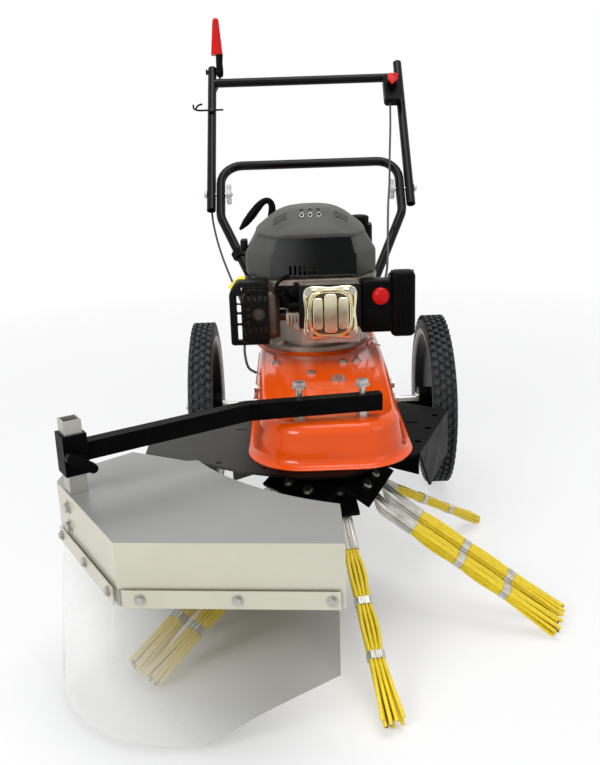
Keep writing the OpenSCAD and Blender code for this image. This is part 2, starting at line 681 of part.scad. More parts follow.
// Fold bolts: one through each side of the two handles
module fold_bolts() color([0.78, 0.77, 0.72]) machine() for (s = [-1, 1])
  translate([s * (upper_x + tube_d / 2), pivot_y, pivot_z]) rotate([0, s * 90, 0])
    hex_bolt(fold_d, upper_x + tube_d / 2 - knob_x + 18, 6);

// Wing knob on a fold bolt, inside the lower handle
module wing_knob(s) {
  translate([s * (knob_x - air_gap), pivot_y, pivot_z]) rotate([0, -s * 90, 0]) difference() {
    union() {
      cylinder(d = 19, h = 15);
      translate([0, 0, 4]) rotate([0, 0, 65]) hull() for (k = [-1, 1]) translate([k * 15, 0, 0])
        cylinder(d = 9, h = 11, $fn = 32);
    }
    translate([0, 0, -1]) cylinder(d = fold_d + 2 * run_gap, h = 20);
  }
}

module knob_left() color([0.9, 0.9, 0.88]) machine() wing_knob(-1);

module knob_right() color([0.9, 0.9, 0.88]) machine() wing_knob(1);

// Frame along an upper tube: X across, Y up the tube, Z out of its front face
module tube_frame(s, along) {
  translate(on_tube(s, along)) rotate([handle_slope, 0, 0]) children();
}

// Throttle box: plastic housing beside the right tube, on its front
module throttle_box() color([0.06, 0.06, 0.06]) machine() tube_frame(1, box_at) difference() {
  translate([throttle_x, 0, tube_d / 2 + air_gap]) rounded_plate(box_w, box_l, 10, box_t);
  throttle_pin() translate([0, 0, -4 - air_gap]) cylinder(d = throttle_d + 2, h = 8 + 2 * air_gap);
  throttle_pin() translate([0, 0, -box_w / 3 - air_gap]) cylinder(d = 6 + 2 * run_gap, h = 2 * box_w / 3 + 2 * air_gap);
}

throttle_x = -box_w / 2 - 1;
throttle_d = 28;

// Frame of the throttle lever's pin, which lies across the box
module throttle_pin() {
  translate([throttle_x, box_l / 4, tube_d / 2 + box_t - 8]) rotate([0, 90, 0]) children();
}

// Throttle lever: red thumb lever on a pin across its box
module throttle_lever() color([0.8, 0.07, 0.06]) machine() tube_frame(1, box_at) throttle_pin() {
  translate([0, 0, -4]) cylinder(d = throttle_d, h = 8);
  translate([0, 0, -box_w / 3]) cylinder(d = 6, h = 2 * box_w / 3);
  translate([-24, -6, -4]) cube([16, 12, 8]);
  translate([-24, 0, -7]) cylinder(d = 14, h = 14);
}

// Rope guide: wire hook through the left tube that parks the starter rope
module rope_guide() color([0.1, 0.1, 0.1]) machine() tube_frame(-1, 272) {
  rod([0, 0, tube_d / 2 + 3.5], [-34, 0, tube_d / 2 + 3.5], 5);
  rod([-34, -2.5, tube_d / 2 + 3.5], [-34, 12, tube_d / 2 + 3.5], 5);
  rod([0, 0, tube_d / 2 + 3.5], [34, 0, tube_d / 2 + 3.5], 5);
  translate([0, 0, tube_d / 2 + 3]) cube([12, 9, 6], center = true);
}

// Clutch lever: flat steel lever on a pin through the left tube's end
module clutch_lever() color([0.06, 0.06, 0.06]) machine() lever_frame() {
  translate([0, 0, 0]) rotate([90, 0, 90]) linear_extrude(lever_t) polygon(concat(
    [for (i = [0 : 12]) let (a = 180 + i * 15) [12 * cos(a), 12 * sin(a)]], [[8, lever_l], [-8, lever_l]]));
  translate([-tube_d - 2, 0, 0]) rotate([0, 90, 0]) cylinder(d = lever_pin_d, h = tube_d + 4);
  translate([-tube_d - 6, 0, 0]) rotate([0, 90, 0]) cylinder(d = 14, h = 5 - air_gap);
}

module lever_frame() {
  translate([lever_x, lever_y, lever_z]) rotate([-lever_lean, 0, 0]) children();
}

// Lever grip: red tapered sleeve pressed onto the lever
module lever_grip() color([0.82, 0.08, 0.07]) machine() lever_frame() translate([lever_t / 2, 0, lever_l]) hull() {
  rotate([0, 0, 0]) linear_extrude(1) polygon(rounded(30, 18, 7));
  translate([0, 0, 14]) linear_extrude(1) polygon(rounded(25, 16, 7));
  translate([0, 0, grip_l - 6]) linear_extrude(1) polygon(rounded(16, 12, 5));
  translate([0, 0, grip_l - 1]) linear_extrude(1) polygon(rounded(9, 7, 3));
}

// Crankcase: alloy casting with its mounting flange, cylinder, fins and cowl seat
module crankcase() color([0.52, 0.52, 0.5]) machine() difference() {
  union() {
    translate([crank.x, crank.y, engine_z]) cylinder(d = flange_d, h = flange_t);
    translate([crank.x, crank.y, engine_z]) cylinder(d = flange_d - 44, h = case_h - 9);
    translate([crank.x, cowl_y(), case_top - 10]) rounded_plate(blower_w - 2, blower_l - 2, 59, 10);
    translate([cylinder_x - 46, head_y, engine_z + 42]) cube([92, crank_y - head_y, 106]);
    for (i = [0 : fin_count - 1]) translate([cylinder_x - 54, head_y + i * 11, engine_z + 38])
      cube([108, 4, 110]);
  }
  translate([crank.x, crank.y, engine_z - 1]) cylinder(d = crank_d + 2 * run_gap, h = case_h + 2);
  for (p = engine_bolt_spots()) translate([p.x, p.y, engine_z - 1]) cylinder(d = bolt_d + 1, h = flange_t + 2);
  for (p = screw_spots()) translate([p.x, head_y - 1, p.y]) rotate([-90, 0, 0]) cylinder(d = 6.2, h = 14);
}

function cowl_y() = crank_y - 14;
function screw_spots() = [for (sx = [-1, 1], sz = [-1, 1])
  [cylinder_x + sx * (valve_w / 2 - 11), valve_z + sz * (valve_w / 2 - 11)]];

// Valve cover: champagne-plated pressing with a raised oval panel
module valve_cover() color([0.78, 0.7, 0.5]) machine() difference() {
  union() {
    translate([cylinder_x, head_y, valve_z]) rotate([90, 0, 0]) rounded_plate(valve_w, valve_w, 16, 6);
    translate([cylinder_x, head_y - 5, valve_z]) rotate([90, 0, 0]) rounded_plate(valve_w - 24, valve_w - 12, 36, 9);
  }
  for (p = screw_spots()) translate([p.x, head_y + 1, p.y]) rotate([90, 0, 0]) cylinder(d = 6.2, h = 20);
}

// Engine screws: four in the valve cover and two in the air cleaner
module engine_screws() color([0.8, 0.78, 0.7]) machine() {
  for (p = screw_spots()) translate([p.x, head_y - 6, p.y]) rotate([90, 0, 0]) hex_bolt(6, 14);
}

// Spark plug boot on the left of the head, with the plug's stub behind it
module plug_boot() color([0.05, 0.05, 0.05]) machine()
  translate([cylinder_x - 54 - air_gap, head_y + 22, engine_z + 104]) rotate([0, -90, 0]) {
    cylinder(d = 18, h = 24);
    translate([0, 0, 20]) rotate([0, 60, 0]) cylinder(d = 15, h = 30);
  }

// Muffler: steel box on the left of the head, with its pipe and two stand-offs
module muffler() color([0.2, 0.19, 0.18]) machine() {
  translate([muffler_c.x, muffler_c.y + 40, muffler_c.z - 6]) rotate([90, 0, 0]) rounded_plate(90, 96, 18, muffler_l);
  translate([muffler_c.x + 44, -128, muffler_c.z - 10]) rotate([0, 90, 0])
    cylinder(d = 22, h = cylinder_x - 46 - muffler_c.x - 44);
  for (z = [-30, 20]) translate([muffler_c.x - 20, muffler_c.y + 41 - muffler_l, muffler_c.z + z]) rotate([90, 0, 0])
    cylinder(d = 12, h = shield_gap + 1);
}

muffler_l = 76;
shield_gap = 4;
shield_t = 2;

// Muffler guard: slotted black sheet with short returns, in front of the muffler
module muffler_guard() color([0.06, 0.06, 0.06]) machine() {
  front = muffler_c.y + 40 - muffler_l - shield_gap;
  difference() {
    translate([muffler_c.x - 12, front, muffler_c.z + 2]) rotate([90, 0, 0]) rounded_plate(78, 120, 10, shield_t);
    for (i = [0 : 5], k = [0 : 2]) translate([muffler_c.x - 40 + k * 19, front - 10, muffler_c.z - 45 + i * 17])
      cube([13, 30, 8]);
  }
  translate([muffler_c.x - 51, front - 1, muffler_c.z - 44]) cube([shield_t, 26, 92]);
  for (z = [-58, 62 - shield_t]) translate([muffler_c.x - 38, front - 1, muffler_c.z + z]) cube([54, 22, shield_t]);
}

// Carburettor between the cylinder and the air cleaner
module carburettor() color([0.5, 0.5, 0.48]) machine() {
  translate([cylinder_x + 54 + air_gap, -116, engine_z + 62]) cube([40, 38, 58]);
  translate([cylinder_x + 76, -97, engine_z + 40]) cylinder(d = 34, h = 23);
  translate([cylinder_x + 46, -97, engine_z + 90]) rotate([0, 90, 0]) cylinder(d = 26, h = 9);
}

// Air cleaner base: black moulded box beside the carburettor, cut back under the blower housing
module air_cleaner_base() color([0.05, 0.05, 0.05]) machine() difference() {
  translate([air_x, air_y + 92, air_z + air_h / 2]) rotate([90, 0, 0]) rounded_plate(air_w, air_h - 10, 12, 92 - air_split);
  translate([cylinder_x + 50, -116, engine_z + 36]) cube([46, 60, 90]);
  translate([cylinder_x + 40, air_y + air_split - 5, case_top - 14]) cube([62, 70, 60]);
}

air_split = 38;

// Air cleaner cover: black moulded front shell with the primer's well
module air_cleaner_cover() color([0.04, 0.04, 0.04]) machine() difference() {
  union() {
    translate([air_x, air_y + air_split, air_z + air_h / 2]) rotate([90, 0, 0]) rounded_plate(air_w, air_h, 14, 26);
    translate([air_x + 8, air_y + 16, air_z + air_h / 2]) rotate([90, 0, 0]) rounded_plate(air_w - 30, air_h - 16, 12, 16);
    translate([primer_c.x, air_y + 20, primer_c.z]) rotate([90, 0, 0]) cylinder(d = primer_d + 12, h = 22);
  }
  translate([primer_c.x, air_y + 22, primer_c.z]) rotate([90, 0, 0]) cylinder(d = primer_d + 2 * run_gap, h = 40);
  translate([air_x - air_w / 2 - 1, air_y - 5, air_z + air_h - 42]) cube([18, air_split + 10, 60]);
}

// Primer bulb: red button that slides into its well
module primer_bulb() color([0.85, 0.1, 0.1]) machine() {
  translate([primer_c.x, air_y + 22 - primer_travel - air_gap, primer_c.z]) rotate([90, 0, 0])
    cylinder(d = primer_d, h = 10 + primer_travel);
  translate([primer_c.x, air_y + 12 - 2 * primer_travel, primer_c.z]) rotate([90, 0, 0])
    rotate_extrude() polygon(concat([[0, 0]], [for (i = [0 : 8]) [primer_d / 2 * cos(i * 11.25), 9 * sin(i * 11.25)]]));
}

module cowl_form(grow, z0) {
  translate([crank.x, cowl_y(), 0]) hull() {
    translate([0, 0, z0]) linear_extrude(1) polygon(rounded(blower_w + 2 * grow, blower_l + 2 * grow, 60 + grow));
    translate([0, 0, case_top + blower_h * 0.5]) linear_extrude(1)
      polygon(rounded(blower_w - 8 + 2 * grow, blower_l - 8 + 2 * grow, 62 + grow));
    translate([0, 0, case_top + blower_h * 0.8]) linear_extrude(1)
      polygon(rounded(blower_w - 40 + 2 * grow, blower_l - 40 + 2 * grow, 60 + grow));
    translate([0, 0, case_top + blower_h * 0.94 + grow]) linear_extrude(1)
      polygon(rounded(blower_w - 74 + 2 * grow, blower_l - 74 + 2 * grow, 52 + grow));
    translate([0, 0, case_top + blower_h - 1 + grow]) linear_extrude(1)
      polygon(rounded(blower_w - 104 + 2 * grow, blower_l - 104 + 2 * grow, 40 + grow));
  }
}

// Blower housing: black cowl over the flywheel with air slots, reel pin and rope eye
module blower_housing() color([0.05, 0.05, 0.05]) machine() difference() {
  union() {
    difference() {
      cowl_form(0, case_top);
      cowl_form(-blower_t, case_top - 1);
    }
    translate([crank.x, crank.y, case_top + blower_h - 52]) cylinder(d = reel_pin_d, h = 50);
    rod(rope_eye() - pull_dir * 36, rope_eye() + pull_dir * 3, 13);
  }
  for (i = [-1 : 1]) translate([crank.x + i * 26, cowl_y() - 46, case_top + blower_h - 10]) {
    cylinder(d = 12, h = 20);
    translate([-3, 0, 0]) cube([6, 22, 20]);
  }
  for (s = [-1, 1], k = [0 : 3]) translate([crank.x + s * 62 - 24, cowl_y() - blower_l / 2 - 10, case_top + 22 + k * 9])
    cube([48, 40, 4]);
}

function rope_eye() = grip_end() - pull_dir * 12;
function grip_end() = [grip_c.x + grip_r * cos(20), grip_c.y, grip_c.z - grip_r * sin(20)];

// Starter grip: curved handle on the end of the starter rope
module starter_handle() color([0.05, 0.05, 0.05]) machine() {
  translate(grip_c) rotate([90, 0, 0]) rotate([0, 0, -20]) rotate_extrude(angle = 220) translate([grip_r, 0])
    circle(d = grip_d);
  rod(grip_end() - pull_dir * (9 - air_gap), grip_end(), 4.5);
}

// Recoil reel under the top of the blower housing
module recoil_reel() color([0.2, 0.2, 0.2]) machine() translate([crank.x, crank.y, case_top + blower_h - 46])
  rotate_extrude() polygon([[reel_pin_d / 2 + run_gap, 0], [reel_d / 2, 0], [reel_d / 2, 3], [reel_d / 2 - 12, 5],
    [reel_d / 2 - 12, 11], [reel_d / 2, 13], [reel_d / 2, 16], [reel_pin_d / 2 + run_gap, 16]]);

// Fuel tank: moulded tank behind the blower housing, with a filler neck
module fuel_tank() color([0.07, 0.07, 0.07]) machine() {
  translate([tank_c.x, tank_c.y, case_top]) rounded_plate(tank_size.x, tank_size.y, 20, tank_size.z);
  translate([cap_c.x, cap_c.y, case_top + tank_size.z - 1]) cylinder(d = cap_d - 8, h = 11);
  translate([tank_c.x - 46, cowl_y() + blower_l / 2 - 1, case_top - 10]) cube([22, 40, 10]);
}

// Fuel cap: ribbed cap over the filler neck
module fuel_cap() color([0.04, 0.04, 0.04]) machine() translate([cap_c.x, cap_c.y, case_top + tank_size.z + air_gap])
  difference() {
    cylinder(d = cap_d, h = 20);
    translate([0, 0, -1]) cylinder(d = cap_d - 8 + 2 * run_gap, h = 11.5);
  }

// Crankshaft from the engine pulley up to the flywheel
module crankshaft() color("silver") machine() translate([crank.x, crank.y, drive_z - pulley_w / 2 - 4])
  cylinder(d = crank_d, h = case_top + 54 - (drive_z - pulley_w / 2 - 4));

// Flywheel with its fan blades
module flywheel() color([0.4, 0.4, 0.42]) machine() translate([crank.x, crank.y, case_top + 6]) difference() {
  union() {
    cylinder(d = 150, h = 18);
    cylinder(d = 48, h = 44);
    for (i = [0 : 11]) rotate([0, 0, i * 30]) translate([48, -1.5, 16]) cube([32, 3, 24]);
  }
  translate([0, 0, -1]) cylinder(d = crank_d, h = 60);
}

// A grooved pulley, middle of its width on the XY plane
module pulley(d, bore, hub) {
  rotate_extrude() polygon([[bore / 2, -pulley_w / 2], [d / 2, -pulley_w / 2], [d / 2, -groove_w / 2],
    [d / 2 - groove_h, -groove_w / 2], [d / 2 - groove_h, groove_w / 2], [d / 2, groove_w / 2],
    [d / 2, pulley_w / 2], [hub / 2, pulley_w / 2], [bore / 2, pulley_w / 2]]);
}

module engine_pulley() color([0.35, 0.35, 0.36]) machine() translate([crank.x, crank.y, drive_z])
  pulley(engine_pulley_d, crank_d, crank_d + 14);

module rotor_pulley() color([0.35, 0.35, 0.36]) machine() translate([spindle.x, spindle.y, drive_z])
  pulley(rotor_pulley_d, spindle_d, spindle_d + 16);

// Drive belt round the two pulleys, which the idler swings out to tighten
module drive_belt() color([0.06, 0.06, 0.06]) machine() translate([0, 0, drive_z - belt_w / 2]) linear_extrude(belt_w)
  difference() {
    polygon(belt_loop(belt_h));
    polygon(belt_loop(0));
  }

function belt_loop(grow) =
  let (turn = atan2(belt_run.y, belt_run.x), open = 90 - belt_lean, n = 24)
  concat(
    [for (i = [0 : n]) let (a = turn + open + i * (360 - 2 * open) / n)
      spindle + (rotor_belt_r + grow) * [cos(a), sin(a)]],
    [for (i = [0 : n]) let (a = turn - open + i * 2 * open / n)
      crank + (engine_belt_r + grow) * [cos(a), sin(a)]]);

// Idler arm: plate that swings about its bolt and carries the idler's shaft
module idler_arm() color([0.55, 0.54, 0.5]) machine() {
  low = drive_z - pulley_w / 2 - idler_arm_t - air_gap;
  way = idler_c - idler_pin;
  translate([idler_pin.x, idler_pin.y, low]) rotate([0, 0, atan2(way.y, way.x)]) difference() {
    union() {
      linear_extrude(idler_arm_t) polygon(concat(
        [for (i = [0 : 12]) let (a = 90 + i * 15) idler_hub_d / 2 * [cos(a), sin(a)]],
        [for (i = [0 : 12]) let (a = -90 + i * 15) [norm(way) + 9 * cos(a), 9 * sin(a)]]));
      translate([norm(way), 0, idler_arm_t - 1]) cylinder(d = idler_shaft_d, h = pulley_w + 7);
    }
    translate([0, 0, -1]) cylinder(d = idler_pin_d + 2 * run_gap, h = idler_arm_t + 2);
  }
}

module idler_pulley() color([0.3, 0.3, 0.31]) machine() translate([idler_c.x, idler_c.y, drive_z]) rotate_extrude()
  polygon([[idler_shaft_d / 2 + run_gap, -pulley_w / 2], [idler_d / 2 - 1, -pulley_w / 2],
    [idler_d / 2, -pulley_w / 2 + 2], [idler_d / 2, pulley_w / 2 - 2], [idler_d / 2 - 1, pulley_w / 2],
    [idler_shaft_d / 2 + run_gap, pulley_w / 2]]);

// Rotor spindle: shaft with a shoulder on the rotor plate and a nut below it
module rotor_spindle() color("silver") machine() translate([spindle.x, spindle.y, 0]) {
  top = drive_z + pulley_w / 2 + 8;
  low = rotor_z - rotor_t / 2 - 14;
  translate([0, 0, low]) cylinder(d = spindle_d, h = top - low);
  translate([0, 0, low + 2]) cylinder(d = 34, h = 12, $fn = 6);
}

// Rotor plate: black steel disc with six bent tabs
module rotor_plate() color([0.05, 0.05, 0.05]) machine() translate([spindle.x, spindle.y, 0]) difference() {
  union() {
    translate([0, 0, rotor_z - rotor_t / 2]) cylinder(r = bend_r + 4, h = rotor_t);
    translate([0, 0, rotor_z]) cylinder(d = 46, h = plate_z - housing_down - rotor_z - 2);
    for (a = pair_turns) tab_frame(a) translate([-14, -wide_w / 2, -rotor_t / 2]) cube([wide_tab + 14, wide_w, rotor_t]);
    for (a = single_turns) tab_frame(a)
      translate([-14, -narrow_w / 2, -rotor_t / 2]) cube([narrow_tab + 14, narrow_w, rotor_t]);
  }
  translate([0, 0, rotor_z - 40]) cylinder(d = spindle_d, h = 80);
  each_bundle() translate([tab_bolt_x, 0, -rotor_t]) cylinder(d = bolt_d + 2 * run_gap, h = 2 * rotor_t);
}

// Frame of a bent tab: X down the slope, Z out of its upper face
module tab_frame(a) {
  rotate([0, 0, a]) translate([bend_r, 0, rotor_z]) rotate([0, brush_slope, 0]) children();
}

module each_pair() {
  for (a = pair_turns, s = [-1, 1]) tab_frame(a) translate([0, s * pair_gap / 2, 0]) children();
}

module each_single() {
  for (a = single_turns) tab_frame(a) children();
}

module each_bundle() {
  each_pair() children();
  each_single() children();
}

// Rotor bolts: one through each tab and clip
module rotor_bolts() color([0.78, 0.77, 0.72]) machine() translate([spindle.x, spindle.y, 0]) each_bundle()
  translate([tab_bolt_x, 0, rotor_t / 2]) {
    hex_bolt(bolt_d, rotor_t + 2 * clip_t + 8);
    translate([0, 0, -rotor_t - 2 * clip_t - 6]) cylinder(d = bolt_d * 1.85, h = 6, $fn = 6);
  }

// Bundle clips: folded sheet with a strap under the tab and a sleeve round the cables
module bundle_clips() color([0.74, 0.74, 0.7]) machine() translate([spindle.x, spindle.y, 0]) each_bundle()
  bundle_clip();

module bundle_clip() {
  top = -rotor_t / 2;
  difference() {
    union() {
      translate([tab_bolt_x - 13, -12, top - 2 * clip_t]) cube([sleeve_x - tab_bolt_x + 15, 24, 2 * clip_t]);
      translate([sleeve_x, -bundle_w / 2 - clip_t, top - bundle_h - 2 * clip_t])
        cube([clip_l, bundle_w + 2 * clip_t, bundle_h + 2 * clip_t]);
    }
    translate([sleeve_x + 2, -bundle_w / 2, top - bundle_h - clip_t]) cube([clip_l, bundle_w, bundle_h]);
    translate([tab_bolt_x, 0, top - 3 * clip_t]) cylinder(d = bolt_d + 2 * run_gap, h = 4 * clip_t);
  }
}

// Bundle bands: two sheet bands round each bundle
module bundle_bands() color([0.74, 0.74, 0.7]) machine() translate([spindle.x, spindle.y, 0]) each_bundle()
  for (x = band_spots) translate([x - band_w / 2, 0, -bundle_drop]) rotate([90, 0, 90]) difference() {
    linear_extrude(band_w) polygon(rounded(bundle_w + 2 * clip_t, bundle_h + 2 * clip_t, 4, 2));
    translate([0, 0, -1]) linear_extrude(band_w + 2) polygon(rounded(bundle_w, bundle_h, 3, 2));
  }

// One bundle of brush cables, fused to a slice of its root
module brush_bundle() {
  root = sleeve_x + 2;
  translate([root, -bundle_w / 2 + air_gap, -bundle_drop - bundle_h / 2 + air_gap])
    cube([6, bundle_w - 2 * air_gap, bundle_h - 2 * air_gap]);
  for (i = [0 : strands_across - 1], k = [0 : strand_rows - 1])
    strand((i - (strands_across - 1) / 2) * strand_pitch, (k - (strand_rows - 1) / 2) * strand_pitch, root + 3);
}

// Stations down a bundle, each with how far the cables stand apart there
function bundle_stations(root) = [[root, 1], [sleeve_x + clip_l, 1], [(sleeve_x + clip_l + band_spots[0]) / 2, 1.25],
  [band_spots[0] - band_w / 2, 1], [band_spots[0] + band_w / 2, 1], [(band_spots[0] + band_spots[1]) / 2, 1.3],
  [band_spots[1] - band_w / 2, 1], [band_spots[1] + band_w / 2, 1], [bundle_end, tip_spread]];

// A four-sided cable that keeps its place in the bundle
module strand(y, z, root) {
  st = bundle_stations(root);
  n = len(st);
  h = strand_d / 2;
  corners = [[-h, -h], [h, -h], [h, h], [-h, h]];
  points = [for (s = st, c = corners) [s[0], y * s[1] + c.x, -bundle_drop + z * s[1] + c.y]];
  faces = concat([[0, 1, 2], [0, 2, 3]],
    [for (i = [0 : n - 2], k = [0 : 3]) let (a = 4 * i + k, b = 4 * i + (k + 1) % 4)
      each [[a, a + 4, b], [b, a + 4, b + 4]]],
    [[4 * n - 4, 4 * n - 2, 4 * n - 3], [4 * n - 4, 4 * n - 1, 4 * n - 2]]);
  polyhedron(points, faces);
}

module brush_pairs() color([0.85, 0.75, 0.1]) machine() translate([spindle.x, spindle.y, 0]) each_pair() brush_bundle();

module brush_singles() color([0.85, 0.75, 0.1]) machine() translate([spindle.x, spindle.y, 0])
  each_single() brush_bundle();

// Tyre: solid rubber with a flat tread
module tyre(s) {
  half = tyre_w / 2;
  r = tyre_d / 2;
  translate([s * wheel_x, 0, axle_z]) rotate([0, 90, 0]) rotate_extrude($fn = 96) polygon([[rim_r, -half + 6],
    [rim_r + 7, -half + 1], [r - 16, -half], [r - 5, -half + 3], [r, -half + 9], [r, half - 9], [r - 5, half - 3],
    [r - 16, half], [rim_r + 7, half - 1], [rim_r, half - 6]]);
}

// Rim: dished moulding with a bored hub
module rim(s) {
  half = tyre_w / 2;
  bore = axle_d / 2 + run_gap;
  translate([s * wheel_x, 0, axle_z]) rotate([0, 90, 0]) rotate_extrude($fn = 96) polygon([[bore, -hub_half],
    [hub_d / 2, -hub_half], [hub_d / 2, -5], [rim_r - 22, -5], [rim_r - 6, -half + 6], [rim_r, -half + 6],
    [rim_r, half - 6], [rim_r - 6, half - 6], [rim_r - 20, 1], [hub_d / 2, 1], [hub_d / 2, hub_half],
    [bore, hub_half]]);
}

module tyre_left() color([0.04, 0.04, 0.04]) machine() tyre(-1);

module tyre_right() color([0.04, 0.04, 0.04]) machine() tyre(1);

module rim_left() color([0.06, 0.06, 0.06]) machine() rim(-1);

module rim_right() color([0.06, 0.06, 0.06]) machine() rim(1);

// Guard post: galvanised square tube that slides in the arm's socket
module guard_post() color([0.72, 0.72, 0.66]) machine() translate([post_c.x, post_c.y, post_foot])
  rotate([0, 0, post_turn]) difference() {
    translate([-post_w / 2, -post_w / 2, 0]) cube([post_w, post_w, post_top - post_foot]);
    translate([-post_w / 2 + post_t, -post_w / 2 + post_t, -1])
      cube([post_w - 2 * post_t, post_w - 2 * post_t, post_top - post_foot + 2]);
    for (z = post_bolt_z()) translate([-post_w, 0, z - post_foot]) rotate([0, 90, 0])
      cylinder(d = bolt_d + 2 * run_gap, h = 2 * post_w);
  }

function post_bolt_z() = [guard_z - 22, guard_z - 50];

// Guard shell: folded galvanised sheet, walled on its front and left sides
module guard_shell() color([0.74, 0.75, 0.75]) machine() difference() {
  translate([0, 0, guard_z - guard_h]) linear_extrude(guard_h) difference() {
    polygon([guard_a, guard_b, guard_in2, guard_in1, guard_g, guard_f, guard_e, guard_d]);
    translate(guard_cut) circle(r = guard_cut_r, $fn = 96);
  }
  translate([0, 0, guard_z - guard_h - 1]) linear_extrude(guard_h - guard_t + 1) polygon(guard_hollow());
  translate([post_c.x, post_c.y, guard_z - 3 * guard_t]) rotate([0, 0, post_turn])
    translate([-post_w / 2 - air_gap / 2, -post_w / 2 - air_gap, 0])
      cube([post_w + 1.5 * air_gap, post_w + 2 * air_gap, 6 * guard_t]);
  for (p = strip_bolts()) bolt_axis(p) translate([0, 0, -10]) cylinder(d = 7, h = 20);
  for (z = post_bolt_z()) post_bolt_axis(z) translate([0, 0, -10]) cylinder(d = bolt_d + 1, h = 20);
}

// Plan of the space inside the guard's walls, running out past its open sides
function guard_hollow() =
  let (back = unit(guard_e - guard_d), back_out = [-back.y, back.x])
  [guard_a - guard_t * (left_out + front_out) / (1 + left_out * front_out),
    guard_b - guard_t * front_out + 60 * front_dir, [260, -500], [-100, -380], [-330, -470],
    guard_e - guard_t * back_out + 60 * back,
    guard_d - guard_t * (left_out + back_out) / (1 + left_out * back_out)];

// Bolts of the clamp strips: a point on the wall and the way out of it
function strip_bolts() = concat(
  [for (f = [0.1, 0.53, 0.94]) [guard_a + (guard_b - guard_a) * f, front_out]],
  [for (f = [0.1, 0.5, 0.93]) [guard_a + (guard_d - guard_a) * f, left_out]]);

module bolt_axis(p) {
  translate([p[0].x, p[0].y, guard_z - guard_h + strip_w / 2]) rotate([0, 0, atan2(p[1].y, p[1].x)]) rotate([0, 90, 0])
    children();
}

module post_bolt_axis(z) {
  p = guard_a + left_dir * post_along;
  translate([p.x, p.y, z]) rotate([0, 0, atan2(left_out.y, left_out.x)]) rotate([0, 90, 0]) children();
}

// Guard bolts: through the clamp strips, and through the wall into the post
module guard_bolts() color([0.78, 0.77, 0.72]) machine() {
  for (p = strip_bolts()) bolt_axis(p) translate([0, 0, skirt_t + guard_t + 2 * air_gap]) hex_bolt(6, 12);
  for (z = post_bolt_z()) post_bolt_axis(z) hex_bolt(bolt_d, post_w + 8);
}

// Clamp strips: galvanised flats that hold the skirt's upper edge
module clamp_strips() color([0.76, 0.77, 0.77]) machine() difference() {
  union() {
    strip(guard_a + front_out * (skirt_t + air_gap), guard_b + front_out * (skirt_t + air_gap));
    strip(guard_d + left_out * (skirt_t + air_gap), guard_a + left_out * (skirt_t + air_gap));
  }
  for (p = strip_bolts()) bolt_axis(p) translate([0, 0, -10]) cylinder(d = 7, h = 30);
}

module strip(p, q) {
  inset = 6;
  l = norm(q - p) - 2 * inset;
  translate([p.x, p.y, guard_z - guard_h]) rotate([0, 0, atan2(q.y - p.y, q.x - p.x)])
    translate([inset, -guard_t, 0]) cube([l, guard_t, strip_w]);
}

// Clear skirt: one sheet that hangs from the strips and bellies outwards towards the ground
module clear_skirt() color([0.85, 0.9, 0.92, 0.4]) machine() difference() {
  skirt_sheet();
  for (p = strip_bolts()) bolt_axis(p) translate([0, 0, -10]) cylinder(d = 7, h = 30);
}

module skirt_sheet() {
  grid = [for (c = skirt_columns()) [for (row = [0 : 4])
    let (f = max(0, row - 1) / 3, z = row == 0 ? guard_z - guard_h + strip_w : guard_z - guard_h + (c[2] - guard_z + guard_h) * f,
      p = c[0] + (c[1] - c[0]) * sin(f * 90)) [p.x, p.y, z]]];
  n = len(grid);
  outs = [for (i = [0 : n - 1]) let (d = unit(grid[min(i + 1, n - 1)][4] - grid[max(i - 1, 0)][4])) [d.y, -d.x, 0]];
  sheet_solid(grid, [for (i = [0 : n - 1]) [for (p = grid[i]) p + outs[i] * skirt_t]]);
}

// Columns of the skirt from the left end to the right: place at the strip, place at the foot, foot height
function skirt_columns() =
  let (low = skirt_foot)
  [for (c = [
    [left_at(0.97), [-396, -700], low + 30], [left_at(0.8), [-392, -735], low], [left_at(0.55), [-376, -772], low],
    [left_at(0.3), [-350, -806], low], [left_at(0.1), [-318, -833], low], [guard_a + corner_out(), [-290, -850], low],
    [front_at(0.12), [-246, -863], low], [front_at(0.32), [-190, -869], low],
    [front_at(0.6), [-104, -873], low + 52], [front_at(0.97), [-9, -876], low + 104]]) c];
function corner_out() = 0.4 * (left_out + front_out) / (1 + left_out * front_out);
function left_at(f) = guard_a + (guard_d - guard_a) * f + left_out * 0.3;
function front_at(f) = guard_a + (guard_b - guard_a) * f + front_out * 0.3;

// Closed solid between two grids of points of the same size
module sheet_solid(inner, outer) {
  n = len(inner);
  m = len(inner[0]);
  points = concat([for (c = inner) each c], [for (c = outer) each c]);
  o = n * m;
  faces = concat(
    [for (i = [0 : n - 2], k = [0 : m - 2]) let (a = i * m + k, b = a + m)
      each [[a, b, a + 1], [b, b + 1, a + 1], [o + a, o + a + 1, o + b], [o + b, o + a + 1, o + b + 1]]],
    [for (i = [0 : n - 2]) let (a = i * m, b = a + m, c = a + m - 1, d = b + m - 1)
      each [[a, o + a, b], [b, o + a, o + b], [c, d, o + c], [d, o + d, o + c]]],
    [for (k = [0 : m - 2]) let (a = k, b = (n - 1) * m + k)
      each [[a, a + 1, o + a], [a + 1, o + a + 1, o + a], [b, o + b, b + 1], [b + 1, o + b, o + b + 1]]]);
  polyhedron(points, faces);
}

// Throttle cable from its box to the carburettor
module throttle_cable() color([0.03, 0.03, 0.03]) machine() cable(throttle_route, cable_d);

// Clutch cable from the lever's tube to the deck
module clutch_cable() color([0.03, 0.03, 0.03]) machine() cable(clutch_route, cable_d);

